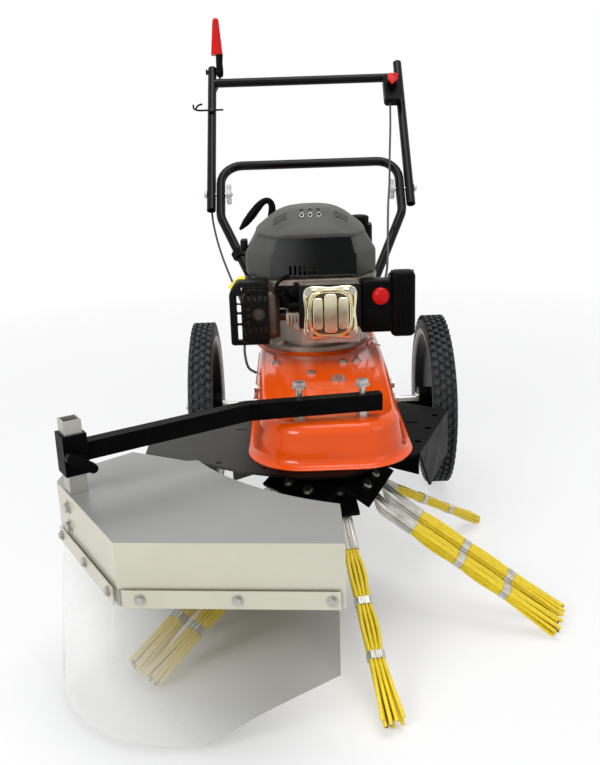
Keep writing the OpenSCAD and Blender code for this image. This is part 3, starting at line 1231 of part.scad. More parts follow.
belt_cover();
base_plate();
rear_apron();
spindle_housing();
spindle_bearings();
axle();
axle_carrier();
chassis_bolts();
guard_arm();
lower_handle();
crankcase();
valve_cover();
engine_screws();
plug_boot();
muffler();
muffler_guard();
carburettor();
air_cleaner_base();
air_cleaner_cover();
blower_housing();
fuel_tank();
drive_belt();
throttle_cable();
clutch_cable();
upper_handle();
fold_bolts();
throttle_box();
rope_guide();
throttle_lever();
clutch_lever();
lever_grip();
knob_left();
knob_right();
primer_bulb();
starter_handle();
recoil_reel();
fuel_cap();
crankshaft();
flywheel();
engine_pulley();
rotor_spindle();
rotor_pulley();
rotor_plate();
rotor_bolts();
bundle_clips();
bundle_bands();
brush_pairs();
brush_singles();
idler_arm();
idler_pulley();
tyre_left();
rim_left();
tyre_right();
rim_right();
guard_post();
guard_shell();
clear_skirt();
clamp_strips();
guard_bolts();
clamp_knob();
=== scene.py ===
import math
import random
import bpy
import bmesh
from mathutils import Matrix, Vector


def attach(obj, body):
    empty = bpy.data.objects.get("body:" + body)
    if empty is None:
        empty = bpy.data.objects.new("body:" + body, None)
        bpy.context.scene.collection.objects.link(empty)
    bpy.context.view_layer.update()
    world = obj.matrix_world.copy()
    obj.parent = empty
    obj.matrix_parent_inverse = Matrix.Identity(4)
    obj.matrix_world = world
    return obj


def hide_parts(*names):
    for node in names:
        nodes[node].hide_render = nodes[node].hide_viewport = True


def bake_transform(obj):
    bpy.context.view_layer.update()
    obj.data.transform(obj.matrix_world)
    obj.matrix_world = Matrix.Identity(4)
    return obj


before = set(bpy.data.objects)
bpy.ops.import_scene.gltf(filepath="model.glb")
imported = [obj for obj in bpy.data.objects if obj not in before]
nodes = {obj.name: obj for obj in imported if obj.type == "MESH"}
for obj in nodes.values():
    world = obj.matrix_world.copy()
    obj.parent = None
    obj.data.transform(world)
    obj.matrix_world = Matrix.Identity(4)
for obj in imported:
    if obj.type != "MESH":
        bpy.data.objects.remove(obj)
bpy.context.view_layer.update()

# Studio: a pale floor that reads as white, a soft key light from the upper left, a weak fill from
# the right and a wide light from above. The camera stands in front, a little left of the machine's
# middle and 0.78 m up, and looks down 17 degrees with a slight roll.
scene = bpy.context.scene
scene.view_settings.view_transform = "Standard"
axle_x, axle_y = 16.6, 104.3


def at(x, y, z):
    """A point given in millimetres from the floor under the axle's middle, in the frame's metres."""
    return Vector(((x + axle_x) / 1000, (y + axle_y) / 1000, z / 1000))


def aim_camera():
    """Sets the camera by its turn, its tilt, its roll and its focal length in pixels."""
    yaw, pitch, roll = 0.00464, math.radians(17.0), 0.0335
    focal_pixels, picture_pixels = 891.4, 765
    ahead = Vector((math.sin(yaw) * math.cos(pitch), math.cos(yaw) * math.cos(pitch), -math.sin(pitch)))
    right = Vector((math.cos(yaw), -math.sin(yaw), 0))
    down = ahead.cross(right)
    across = right * math.cos(roll) + down * math.sin(roll)
    drop = down * math.cos(roll) - right * math.sin(roll)
    data = bpy.data.cameras.new("camera")
    data.sensor_fit = "VERTICAL"
    data.sensor_height = 24.0
    data.lens = focal_pixels / picture_pixels * data.sensor_height
    data.clip_end = 50
    camera = bpy.data.objects.new("camera", data)
    scene.collection.objects.link(camera)
    place = Matrix((across, -drop, -ahead)).transposed().to_4x4()
    place.translation = at(-51.3, -1816, 778)
    camera.matrix_world = place
    scene.camera = camera


aim_camera()


def put(tree, kind, inputs, **settings):
    """Adds a node to a tree, each of its inputs given as a value or as the output that feeds it."""
    node = tree.nodes.new(kind)
    for name, value in settings.items():
        setattr(node, name, value)
    for name, value in inputs.items():
        if isinstance(value, bpy.types.NodeSocket):
            tree.links.new(value, node.inputs[name])
        else:
            node.inputs[name].default_value = value
    return node


def seen_directly(tree):
    """A factor that is 1 for camera, mirror and see-through rays."""
    rays = put(tree, "ShaderNodeLightPath", {}).outputs
    first = put(tree, "ShaderNodeMath", {0: rays["Is Camera Ray"], 1: rays["Is Transmission Ray"]},
                operation="MAXIMUM")
    both = put(tree, "ShaderNodeMath", {0: first.outputs[0], 1: rays["Is Glossy Ray"]}, operation="MAXIMUM")
    return both.outputs[0]


def make_world():
    """Even pale light all round, and plain white where the background shows or is mirrored."""
    world = bpy.data.worlds.new("studio")
    world.use_nodes = True
    scene.world = world
    tree = world.node_tree
    back = tree.nodes["Background"]
    back.inputs[0].default_value = (0.94, 0.96, 1.0, 1)
    back.inputs[1].default_value = 0.42
    white = put(tree, "ShaderNodeBackground", {0: (1, 1, 1, 1), 1: 1.0})
    mix = put(tree, "ShaderNodeMixShader", {0: seen_directly(tree), 1: back.outputs[0], 2: white.outputs[0]})
    tree.links.new(mix.outputs[0], tree.nodes["World Output"].inputs[0])


make_world()


def make_floor():
    """A white floor that glows away from the machine and keeps its shadow near it."""
    half = 9
    shadow_middle = (-0.14, -0.55, 0)
    mesh = bpy.data.meshes.new("floor")
    corners = [(-half, -half, 0), (half, -half, 0), (half, half, 0), (-half, half, 0)]
    mesh.from_pydata(corners, [], [(0, 1, 2, 3)])
    floor = bpy.data.objects.new("floor", mesh)
    scene.collection.objects.link(floor)
    mat = bpy.data.materials.new("floor_white")
    mat.use_nodes = True
    tree = mat.node_tree
    bsdf = tree.nodes["Principled BSDF"]
    bsdf.inputs["Base Color"].default_value = (0.9, 0.9, 0.9, 1)
    bsdf.inputs["Roughness"].default_value = 0.9
    bsdf.inputs["Specular IOR Level"].default_value = 0.1
    glow = put(tree, "ShaderNodeEmission", {0: (1, 1, 1, 1), 1: 1.0})
    coord = put(tree, "ShaderNodeTexCoord", {})

    def fade(spot, near, far, least):
        """A factor that grows from least to 1 between two distances from a spot."""
        apart = put(tree, "ShaderNodeVectorMath", {0: coord.outputs["Object"], 1: spot}, operation="DISTANCE")
        grow = put(tree, "ShaderNodeMapRange", {"Value": apart.outputs["Value"], "From Min": near,
                                                "From Max": far, "To Min": least})
        return grow.outputs[0]

    def times(left, right):
        """The product of two factors."""
        return put(tree, "ShaderNodeMath", {0: left, 1: right}, operation="MULTIPLY").outputs[0]

    open_floor = times(fade((0, 0, 0), 0.7, 2.4, 0.6), fade(shadow_middle, 0.12, 0.34, 0.0))
    shown = times(seen_directly(tree), open_floor)
    mix = put(tree, "ShaderNodeMixShader", {0: shown, 1: bsdf.outputs[0], 2: glow.outputs[0]})
    tree.links.new(mix.outputs[0], tree.nodes["Material Output"].inputs[0])
    mesh.materials.append(mat)
    floor.location.z = -0.0005


make_floor()


def area_light(name, spot, aim, size, power):
    """A soft rectangular lamp aimed at a point, in metres."""
    data = bpy.data.lights.new(name, "AREA")
    data.shape = "RECTANGLE"
    data.size, data.size_y = size
    data.energy = power
    light = bpy.data.objects.new(name, data)
    scene.collection.objects.link(light)
    light.location = spot
    light.rotation_euler = (Vector(aim) - Vector(spot)).to_track_quat("-Z", "Y").to_euler()


area_light("key", (-1.7, -2.6, 1.9), (0, -0.3, 0.25), (1.2, 1.2), 50)
area_light("fill", (2.4, -1.6, 1.6), (0, 0, 0.3), (1.2, 1.6), 8)
area_light("top", (0.2, 0.1, 3.0), (0, 0, 0.2), (2.2, 1.6), 44)

# Wheels: 14-inch moulded wheels with semi-solid rubber tyres of diamond tread on a plain
# steel axle. The axle runs through a carrier under the deck and nuts hold the hubs on.
wheel_x, wheel_height = 241, 178


def node_group(name, kind, inputs, outputs):
    """A new node group with named inputs and outputs, what it is given and where its results go."""
    group = bpy.data.node_groups.new(name, kind)
    for way, sockets in (("OUTPUT", outputs), ("INPUT", inputs)):
        for socket, sort in sockets.items():
            group.interface.new_socket(socket, in_out=way, socket_type="NodeSocket" + sort)
    given, result = group.nodes.new("NodeGroupInput"), group.nodes.new("NodeGroupOutput")
    return group, given.outputs, result.inputs


def tone_drift_group():
    """Two tones and two roughnesses that drift into each other over the surface."""
    group, given, result = node_group(
        "tone_drift", "ShaderNodeTree",
        {"Tone A": "Color", "Tone B": "Color", "Scale": "Float", "Smooth": "Float", "Rough": "Float"},
        {"Color": "Color", "Roughness": "Float"})
    coord = put(group, "ShaderNodeTexCoord", {})
    noise = put(group, "ShaderNodeTexNoise", {"Vector": coord.outputs["Object"], "Scale": given["Scale"],
                                              "Detail": 5, "Roughness": 0.6})
    spread = put(group, "ShaderNodeMapRange", {"Value": noise.outputs["Fac"], "From Min": 0.3, "From Max": 0.7})
    tone = put(group, "ShaderNodeMix", {0: spread.outputs[0], 6: given["Tone A"], 7: given["Tone B"]},
               data_type="RGBA")
    rough = put(group, "ShaderNodeMix", {0: spread.outputs[0], 2: given["Smooth"], 3: given["Rough"]})
    group.links.new(tone.outputs[2], result["Color"])
    group.links.new(rough.outputs[0], result["Roughness"])
    return group


def fine_grain_group():
    """A fine raised grain, given by its scale and its height in metres."""
    group, given, result = node_group("fine_grain", "ShaderNodeTree", {"Scale": "Float", "Height": "Float"},
                                      {"Normal": "Vector"})
    coord = put(group, "ShaderNodeTexCoord", {})
    noise = put(group, "ShaderNodeTexNoise", {"Vector": coord.outputs["Object"], "Scale": given["Scale"],
                                              "Detail": 3})
    bump = put(group, "ShaderNodeBump", {"Height": noise.outputs["Fac"], "Distance": given["Height"],
                                         "Strength": 0.6})
    group.links.new(bump.outputs[0], result["Normal"])
    return group


tone_drift = tone_drift_group()
fine_grain = fine_grain_group()


def finish(name, tone_a, tone_b, scale=20, rough=(0.35, 0.5), metal=0.0, grain=(600, 0.0001), coat=0.0,
           spec=0.5):
    """A surface whose tone and roughness drift between two values, with a fine grain."""
    mat = bpy.data.materials.new(name)
    mat.use_nodes = True
    tree = mat.node_tree
    bsdf = tree.nodes["Principled BSDF"]
    drift = put(tree, "ShaderNodeGroup", {"Tone A": (*tone_a, 1), "Tone B": (*tone_b, 1), "Scale": scale,
                                          "Smooth": rough[0], "Rough": rough[1]}, node_tree=tone_drift)
    bump = put(tree, "ShaderNodeGroup", {"Scale": grain[0], "Height": grain[1]}, node_tree=fine_grain)
    tree.links.new(drift.outputs["Color"], bsdf.inputs["Base Color"])
    tree.links.new(drift.outputs["Roughness"], bsdf.inputs["Roughness"])
    tree.links.new(bump.outputs["Normal"], bsdf.inputs["Normal"])
    bsdf.inputs["Metallic"].default_value = metal
    bsdf.inputs["Specular IOR Level"].default_value = spec
    bsdf.inputs["Coat Weight"].default_value = coat
    bsdf.inputs["Coat Roughness"].default_value = 0.05
    return mat


def dress(mat, *names):
    """Gives CAD nodes a finish."""
    for name in names:
        nodes[name].data.materials.clear()
        nodes[name].data.materials.append(mat)


def link_mesh(name, verts, faces):
    """A mesh object from points in millimetres, its doubles merged and its faces outwards."""
    mesh = bpy.data.meshes.new(name)
    mesh.from_pydata([at(*v) for v in verts], [], faces)
    bm = bmesh.new()
    bm.from_mesh(mesh)
    bmesh.ops.remove_doubles(bm, verts=bm.verts, dist=1e-6)
    bmesh.ops.recalc_face_normals(bm, faces=bm.faces)
    bm.to_mesh(mesh)
    bm.free()
    obj = bpy.data.objects.new(name, mesh)
    scene.collection.objects.link(obj)
    return obj


def bake(obj):
    """Makes the object's modifiers part of its mesh."""
    graph = bpy.context.evaluated_depsgraph_get()
    graph.update()
    mesh = bpy.data.meshes.new_from_object(obj.evaluated_get(graph))
    obj.modifiers.clear()
    obj.data = mesh
    return obj


def fit(obj, mat, body, slot, *stands_for, sharp=35):
    """Shades a finished piece, gives it its finish and fixes it to its body."""
    if mat:
        obj.data.materials.clear()
        obj.data.materials.append(mat)
    for face in obj.data.polygons:
        face.use_smooth = True
    obj.data.set_sharp_from_angle(angle=math.radians(sharp))
    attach(obj, body)
    if stands_for:
        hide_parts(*stands_for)


def skin(rings, caps=True, loop=False):
    """Points and faces of a surface drawn through rings of equal count."""
    count = len(rings[0])
    verts = [p for ring in rings for p in ring]
    faces = []
    for k in range(len(rings) if loop else len(rings) - 1):
        a, b = k * count, (k + 1) % len(rings) * count
        faces += [(a + i, a + (i + 1) % count, b + (i + 1) % count, b + i) for i in range(count)]
    if caps:
        faces += [tuple(range(count)), tuple(range(len(verts) - 1, len(verts) - count - 1, -1))]
    return verts, faces


def turns(count):
    """Angles spread evenly round a circle."""
    return [k * math.tau / count for k in range(count)]


def tread_lug():
    """One rubber block, 17 mm along the tyre, leaning like a brick in a slanted row."""
    low = [(-5.4, -3.4, -3), (3.6, -8.6, -3), (5.4, 3.4, -3), (-3.6, 8.6, -3)]
    high = [(x * 0.78, y * 0.78, 6.6) for x, y, z in low]
    verts, faces = skin([low, high])
    mesh = bpy.data.meshes.new("tread_lug")
    mesh.from_pydata([Vector(v) / 1000 for v in verts], [], faces)
    return bpy.data.objects.new("tread_lug", mesh)


def tread_nodes():
    """Sets blocks round a tyre in staggered rows: named inputs give their number and place."""
    group, given, result = node_group(
        "tyre_tread", "GeometryNodeTree",
        {"Block": "Object", "Around": "Int", "Rows": "Int", "Radius": "Float", "Row Pitch": "Float",
         "Rubber": "Material"},
        {"Geometry": "Geometry"})

    def calculate(operation, left, right=0):
        """A calculation on two values, each a socket or a number."""
        return put(group, "ShaderNodeMath", {0: left, 1: right}, operation=operation).outputs[0]

    rows, around, radius = given["Rows"], given["Around"], given["Radius"]
    points = put(group, "GeometryNodePoints", {"Count": calculate("MULTIPLY", around, rows)})
    index = put(group, "GeometryNodeInputIndex", {}).outputs[0]
    row = calculate("MODULO", index, rows)
    column = calculate("FLOOR", calculate("DIVIDE", index, rows))
    shifted = calculate("ADD", column, calculate("MULTIPLY", row, 0.5))
    angle = calculate("DIVIDE", calculate("MULTIPLY", shifted, math.tau), around)
    middle = calculate("DIVIDE", calculate("SUBTRACT", rows, 1), 2)
    place = put(group, "ShaderNodeCombineXYZ", {
        0: calculate("MULTIPLY", calculate("SUBTRACT", row, middle), given["Row Pitch"]),
        1: calculate("MULTIPLY", calculate("SINE", angle), radius),
        2: calculate("MULTIPLY", calculate("COSINE", angle), radius)})
    turn = put(group, "ShaderNodeCombineXYZ", {0: calculate("MULTIPLY", angle, -1)})
    move = put(group, "GeometryNodeSetPosition", {"Geometry": points.outputs[0], "Position": place.outputs[0]})
    block = put(group, "GeometryNodeObjectInfo", {"Object": given["Block"]})
    copies = put(group, "GeometryNodeInstanceOnPoints", {
        "Points": move.outputs[0], "Instance": block.outputs["Geometry"], "Rotation": turn.outputs[0]})
    real = put(group, "GeometryNodeRealizeInstances", {0: copies.outputs[0]})
    paint = put(group, "GeometryNodeSetMaterial", {"Geometry": real.outputs[0], "Material": given["Rubber"]})
    group.links.new(paint.outputs[0], result[0])
    return group


def set_inputs(modifier, **values):
    """Finds a Geometry Nodes modifier's inputs by their names and sets them by their identifiers."""
    for item in modifier.node_group.interface.items_tree:
        if item.in_out == "INPUT" and item.name.replace(" ", "_") in values:
            modifier[item.identifier] = values[item.name.replace(" ", "_")]


rubber = finish("tyre_rubber", (0.031, 0.034, 0.035), (0.056, 0.06, 0.062), 40, (0.45, 0.6),
                grain=(500, 0.0002), spec=0.1)
sidewall = finish("tyre_sidewall", (0.34, 0.33, 0.31), (0.5, 0.49, 0.46), 60, (0.34, 0.46),
                  grain=(500, 0.0001))
tread_tree = tread_nodes()
lug = tread_lug()


def tyre(name, x, body, node):
    """A tyre turned from its profile, with a pale ring on its sidewall and blocks round its tread."""
    profile = [(-19, 138), (-22.5, 141), (-24, 150), (-24, 163), (-22, 168), (-18, 170.6), (0, 171.6),
               (18, 170.6), (22, 168), (24, 163), (24, 150), (22.5, 141), (19, 138)]
    rings = [[(x + dx, r * math.sin(t), wheel_height + r * math.cos(t)) for dx, r in profile]
             for t in turns(96)]
    obj = link_mesh(name, *skin(rings, caps=False, loop=True))
    obj.data.materials.append(rubber)
    obj.data.materials.append(sidewall)
    centre, ring_inside, ring_outside = at(x, 0, wheel_height), 0.139, 0.151
    for face in obj.data.polygons:
        off = face.center - centre
        reach = math.hypot(off.y, off.z)
        face.material_index = 1 if ring_inside < reach < ring_outside else 0
    tread = bpy.data.objects.new(name + "_tread", bpy.data.meshes.new("tread"))
    scene.collection.objects.link(tread)
    modifier = tread.modifiers.new("tread", "NODES")
    modifier.node_group = tread_tree
    set_inputs(modifier, Block=lug, Around=58, Rows=4, Radius=0.1714, Row_Pitch=0.0114, Rubber=rubber)
    bake(tread)
    tread.data.transform(Matrix.Translation(centre))
    for face in tread.data.polygons:
        face.material_index = 0
    bm = bmesh.new()
    bm.from_mesh(obj.data)
    bm.from_mesh(tread.data)
    bm.to_mesh(obj.data)
    bm.free()
    bpy.data.objects.remove(tread)
    fit(obj, None, body, "tyre_rubber", node)


tyre("tyre_left_rubber", -wheel_x, "wheel_left", "tyre_left")
tyre("tyre_right_rubber", wheel_x, "wheel_right", "tyre_right")
bpy.data.objects.remove(lug)
zinc = finish("zinc_plate", (0.40, 0.395, 0.37), (0.56, 0.55, 0.52), 60, (0.22, 0.36), 1.0, (400, 0.00005))
moulded_black = finish("moulded_black", (0.0011, 0.0011, 0.0011), (0.0024, 0.0024, 0.0024), 25, (0.32, 0.44),
                       grain=(1400, 0.0001), spec=0.05)
dress(moulded_black, "rim_left", "rim_right")
dress(zinc, "axle")

# Deck: a black powder-coated plate with a flat left wing and a folded right wing. The handle
# sockets, the axle carrier and a rear apron are welded to it, and the left wing is painted lighter grey as a
# painted highlight for the light that falls from the left.
def painted_light_tone_group():
    """A second tone that takes over along a direction, from one distance to another; it paints light and shade
    onto a finish.
    """
    group, given, result = node_group(
        "place_tone", "ShaderNodeTree",
        {"Color": "Color", "Tone": "Color", "Direction": "Vector", "Start": "Float", "End": "Float",
         "Share": "Float"},
        {"Color": "Color"})
    coord = put(group, "ShaderNodeTexCoord", {})
    along = put(group, "ShaderNodeVectorMath", {0: coord.outputs["Object"], 1: given["Direction"]},
                operation="DOT_PRODUCT")
    reach = put(group, "ShaderNodeMapRange", {"Value": along.outputs["Value"], "From Min": given["Start"],
                                              "From Max": given["End"], "To Max": given["Share"]},
                interpolation_type="SMOOTHSTEP")
    tint = put(group, "ShaderNodeMix", {0: reach.outputs[0], 6: given["Color"], 7: given["Tone"]},
               data_type="RGBA")
    group.links.new(tint.outputs[2], result["Color"])
    return group


place_tone = painted_light_tone_group()


def toned(mat, tone, direction, start, end, share=1.0):
    """Lets a second tone take over a finish along a direction, as painted light and shade."""
    tree = mat.node_tree
    bsdf = tree.nodes["Principled BSDF"]
    first_tone = bsdf.inputs["Base Color"].links[0].from_socket
    both = put(tree, "ShaderNodeGroup", {"Color": first_tone, "Tone": (*tone, 1), "Direction": direction,
                                         "Start": start, "End": end, "Share": share}, node_tree=place_tone)
    tree.links.new(both.outputs["Color"], bsdf.inputs["Base Color"])
    return mat


powder_black = finish("powder_black", (0.0013, 0.0013, 0.0013), (0.0034, 0.0033, 0.0032), 30, (0.3, 0.42),
                      grain=(900, 0.00008), spec=0.025)
# The lighter grey over the left wing is a painted highlight for the light falling from the left.
deck_black = toned(finish("deck_black", (0.0011, 0.0011, 0.0011), (0.0026, 0.0026, 0.0025), 30, (0.34, 0.46),
                          grain=(900, 0.00008), spec=0.02),
                   (0.066, 0.066, 0.062), (-1, 0, 0), 0.06, 0.15)
dress(deck_black, "base_plate", "rear_apron")
dress(powder_black, "axle_carrier", "spindle_housing")

# Belt drive: grooved steel pulleys on the crankshaft and the brush spindle, a vee belt round them
# and an idler on a swinging zinc-plated arm that tightens it. All of it runs under the cover.
steel = finish("machined_steel", (0.42, 0.42, 0.42), (0.55, 0.55, 0.54), 80, (0.25, 0.4), 1.0)
belt_rubber = finish("belt_rubber", (0.015, 0.014, 0.013), (0.03, 0.028, 0.026), 90, (0.6, 0.75),
                     grain=(700, 0.0002))
dress(steel, "crankshaft", "engine_pulley", "idler_pulley")
dress(steel, "rotor_pulley", "rotor_spindle", "spindle_bearings")
dress(zinc, "idler_arm")
dress(belt_rubber, "drive_belt")

# Brush rotor: a black plate of bent tabs that carries nine bundles of plastic-coated steel cable.
# A galvanised sleeve grips each bundle's root and two crimped bands hold it along its length.
def strand_nodes():
    """Draws a round cable along each line, with its length and angle kept for the lay."""
    group, given, result = node_group(
        "cable_strands", "GeometryNodeTree",
        {"Geometry": "Geometry", "Radius": "Float", "Sides": "Int", "Coating": "Material"},
        {"Geometry": "Geometry"})

    def keep(geometry, name, parameter):
        """Keeps a line's own measure as an attribute that the finish can read."""
        measure = put(group, "GeometryNodeSplineParameter", {}).outputs[parameter]
        store = put(group, "GeometryNodeStoreNamedAttribute", {"Geometry": geometry, "Name": name,
                                                               "Value": measure})
        return store.outputs[0]

    curve = put(group, "GeometryNodeMeshToCurve", {0: given["Geometry"]})
    ring = put(group, "GeometryNodeCurvePrimitiveCircle", {"Resolution": given["Sides"],
                                                           "Radius": given["Radius"]})
    sweep = put(group, "GeometryNodeCurveToMesh", {
        "Curve": keep(curve.outputs[0], "along", "Length"),
        "Profile Curve": keep(ring.outputs[0], "around", "Factor"), "Fill Caps": True})
    paint = put(group, "GeometryNodeSetMaterial", {"Geometry": sweep.outputs[0], "Material": given["Coating"]})
    group.links.new(paint.outputs[0], result[0])
    return group


strand_tree = strand_nodes()


def cable_finish(name, tone_a, tone_b, lay, depth, rough):
    """A coated cable: the lay of the wires inside shows as slanted ridges."""
    mat = finish(name, tone_a, tone_b, 90, rough)
    tree = mat.node_tree
    phases = []
    for attribute, factor in (("along", lay), ("around", 3 * math.tau)):
        read = put(tree, "ShaderNodeAttribute", {}, attribute_name=attribute)
        times = put(tree, "ShaderNodeMath", {0: read.outputs["Fac"], 1: factor}, operation="MULTIPLY")
        phases.append(times.outputs[0])
    both = put(tree, "ShaderNodeMath", {0: phases[0], 1: phases[1]}, operation="ADD")
    wave = put(tree, "ShaderNodeMath", {0: both.outputs[0]}, operation="SINE")
    bump = put(tree, "ShaderNodeBump", {"Height": wave.outputs[0], "Distance": depth, "Strength": 0.7})
    tree.links.new(bump.outputs[0], tree.nodes["Principled BSDF"].inputs["Normal"])
    return mat


def strands(name, lines, radius, sides, mat):
    """A mesh of round cables along lines of points in millimetres."""
    mesh = bpy.data.meshes.new(name)
    verts = [at(*p) for line in lines for p in line]
    edges, first = [], 0
    for line in lines:
        edges += [(first + i, first + i + 1) for i in range(len(line) - 1)]
        first += len(line)
    mesh.from_pydata(verts, edges, [])
    obj = bpy.data.objects.new(name, mesh)
    scene.collection.objects.link(obj)
    modifier = obj.modifiers.new("strands", "NODES")
    modifier.node_group = strand_tree
    set_inputs(modifier, Radius=radius / 1000, Sides=sides, Coating=mat)
    return bake(obj)


yellow_cable = cable_finish("yellow_cable", (0.84, 0.61, 0.010), (0.95, 0.73, 0.022), 1400, 0.00018,
                            (0.3, 0.42))
# The dark brown core strands are painted shade: they darken the gaps between the yellow cables.
shaded_cable = cable_finish("shaded_cable", (0.17, 0.10, 0.012), (0.25, 0.155, 0.02), 1400, 0.0003,
                            (0.5, 0.6))
rotor_y = -480
root_reach, root_height, root_drop = 50, 219, 14.3
bundle_slope = math.radians(31.0)


def bundle_spot(turn, lx, ly, lz):
    """A place in a bundle, along it, across it and through it, as a point under the rotor."""
    a = math.radians(turn)
    c, s = math.cos(bundle_slope), math.sin(bundle_slope)
    flat = root_reach + lx * c + (lz - root_drop) * s
    height = root_height - lx * s + (lz - root_drop) * c
    return flat * math.cos(a) - ly * math.sin(a), rotor_y + flat * math.sin(a) + ly * math.cos(a), height


def bundle_lines(turn, offset, seed, places):
    """The strands of one bundle: level in the sleeve, bulging between the bands, loose at the tip."""
    chance = random.Random(seed)
    slim = 0.84 if offset == 0 else 1.0
    last_band, tip_end = 290, 381
    # Each station: how far along the bundle, and how far the strands stand apart there.
    stations = [(108, 0.76), (116, 0.82), (130, 1.0), (146, 1.16), (164, 1.18), (182, 1.07), (194, 0.98),
                (208, 0.98), (220, 1.08), (234, 1.18), (250, 1.18), (264, 1.08), (276, 0.98),
                (last_band, 0.98), (312, 1.09), (340, 1.23), (362, 1.36), (tip_end, 1.46)]
    lines = []
    for y0, z0 in places:
        tip = chance.uniform(-9, 0)
        sway_y, sway_z = chance.uniform(-1.0, 1.0), chance.uniform(-0.8, 0.8)
        line = []
        for x, wide in stations:
            free = max(0.0, (x - last_band) / (tip_end - last_band))
            loose = max(0.0, wide - 1)
            across = offset + y0 * wide * slim + sway_y * (free * 2.0 + loose * 6)
            through = z0 * (1 + (wide - 1) * 0.9) + sway_z * (free * 1.4 + loose * 3)
            line.append(bundle_spot(turn, x + tip * free, across, through))
        lines.append(line)
    return lines


outer_places = [(y, z) for z in (4.7, -4.7) for y in (-9.7, -3.25, 3.25, 9.7)] + [(-9.9, 0), (9.9, 0)]
inner_places = [(-6, 0.6), (0, 1.2), (6, 0.6), (-3, -1.6), (3, -1.6)]
pairs = [(turn, side) for turn in (-21, -141, 99) for side in (-23, 23)]
singles = [(turn, 0) for turn in (-81, 39, 159)]
for name, bundles, node in (("brush_pair_cables", pairs, "brush_pairs"),
                            ("brush_single_cables", singles, "brush_singles")):
    lines = []
    for turn, side in bundles:
        lines += bundle_lines(turn, side, turn * 7 + side, outer_places)
    fit(strands(name, lines, 2.85, 10, yellow_cable), None, "rotor", "yellow_cable", node, sharp=60)
# Core strands inside each bundle, dark as painted shade in the gaps.
core_lines = []
for turn, side in pairs + singles:
    core_lines += bundle_lines(turn, side, turn * 3 + side, inner_places)
fit(strands("brush_core_cables", core_lines, 2.4, 7, shaded_cable), None, "rotor", "yellow_cable", sharp=60)
clip_zinc = finish("clip_zinc", (0.42, 0.41, 0.37), (0.62, 0.61, 0.55), 70, (0.26, 0.4), 0.85, (300, 0.00006))


def oval(half_x, half_z, power, count, pinch=0.0):
    """A rounded square, its sides drawn in by pinch."""
    ring = []
    for t in turns(count):
        c, s = math.cos(t), math.sin(t)
        r = (abs(c) ** power + abs(s) ** power) ** (-1 / power)
        draw = 1 - pinch * math.cos(2 * t) ** 2
        ring.append((half_x * r * c * draw, half_z * r * s * draw))
    return ring


def joined(*forms):
    """The points and faces of several forms as one."""
    verts, faces = [], []
    for more, sides in forms:
        faces += [tuple(i + len(verts) for i in face) for face in sides]
        verts += more
    return verts, faces


def ribbed_ring(turn, side, x, z, half_y, half_z, rib, power=4.5):
    """A ring across a bundle, pressed into ribs that follow its cables."""
    ring = []
    slim = 0.88 if side == 0 else 1.0
    for k, (py, pz) in enumerate(oval(half_y * slim, half_z, power, 72)):
        press = 1 + rib * math.cos(k * math.tau / 6)
        ring.append(bundle_spot(turn, x, side + py * press, z + pz * press))
    return ring


def crimped_sleeves():
    """A flat tongue under the rotor's tab that widens into a sleeve pressed round the cables."""
    # Each level: along the bundle, through it, half its width and height, rib depth, squareness.
    levels = [(5, 9.8, 11.4, 1.1, 0, 9), (6, 9.8, 12, 1.5, 0, 9), (37, 9.8, 12, 1.5, 0, 9),
              (43, 8.2, 12.2, 3.0, 0, 8), (51, 3.4, 12.8, 6.6, 0.01, 6), (59, 0.8, 13.0, 8.2, 0.05, 5),
              (67, 0.1, 12.8, 8.3, 0.1, 4.5), (112, 0, 12.4, 8.0, 0.12, 4.5), (115, 0, 12.6, 8.2, 0.1, 4.5),
              (116, 0, 12.4, 8.0, 0.1, 4.5), (116, 0, 11.7, 7.3, 0.1, 4.5), (104, 0, 11.5, 7.1, 0.1, 4.5)]
    forms = [skin([ribbed_ring(turn, side, *level) for level in levels]) for turn, side in pairs + singles]
    sleeves = link_mesh("bundle_sleeves", *joined(*forms))
    fit(sleeves, clip_zinc, "rotor", "galvanised", "bundle_clips", sharp=38)


def crimped_bands():
    """Two bands on each bundle, their metal pressed into ribs along the cables."""
    profile = ((-4.8, -0.9), (-6.1, -0.4), (-5.4, 0.3), (5.4, 0.3), (6.1, -0.4), (4.8, -0.9))
    forms = []
    for turn, side in pairs + singles:
        for middle in (201, 283):
            rings = [ribbed_ring(turn, side, middle + x, 0, 13.3 + grow, 8.4 + grow, 0.06)
                     for x, grow in profile]
            forms.append(skin(rings, caps=False, loop=True))
    bands = link_mesh("bundle_crimped_bands", *joined(*forms))
    fit(bands, clip_zinc, "rotor", "galvanised", "bundle_bands", sharp=30)


crimped_sleeves()
crimped_bands()
dress(powder_black, "rotor_plate")
dress(zinc, "rotor_bolts")

# Belt cover: one orange-painted steel pressing over the drive. Its foot flares into a lip that
# lies on the deck, and its top carries the engine and the guard's arm.
orange_paint = finish("orange_paint", (0.78, 0.078, 0.002), (0.82, 0.088, 0.003), 8, (0.11, 0.17),
                      grain=(160, 0.00002), coat=0.2, spec=0.2)
engine_x, engine_y = -10, -28


def cover_ring(front, rear, nose, back, r, z):
    """A plan outline of the cover: round nose, straight flanks, small rear corners."""
    rear_r = 24
    right = [(front - r + r * math.cos(a), rotor_y - nose + r + r * math.sin(a))
             for a in (math.radians(-90 + 7.5 * i) for i in range(13))]
    right += [(front + (rear - front) * f, y)
              for f, y in ((0.3, -375), (0.6, -290), (0.85, -210), (1.0, -135), (1.0, -20))]
    right += [(rear - rear_r + rear_r * math.cos(a), back - rear_r + rear_r * math.sin(a))
              for a in (math.radians(15 * i) for i in range(7))]
    ring = right + [(-x, y) for x, y in reversed(right)]
    return [(x, y, z) for x, y in ring]


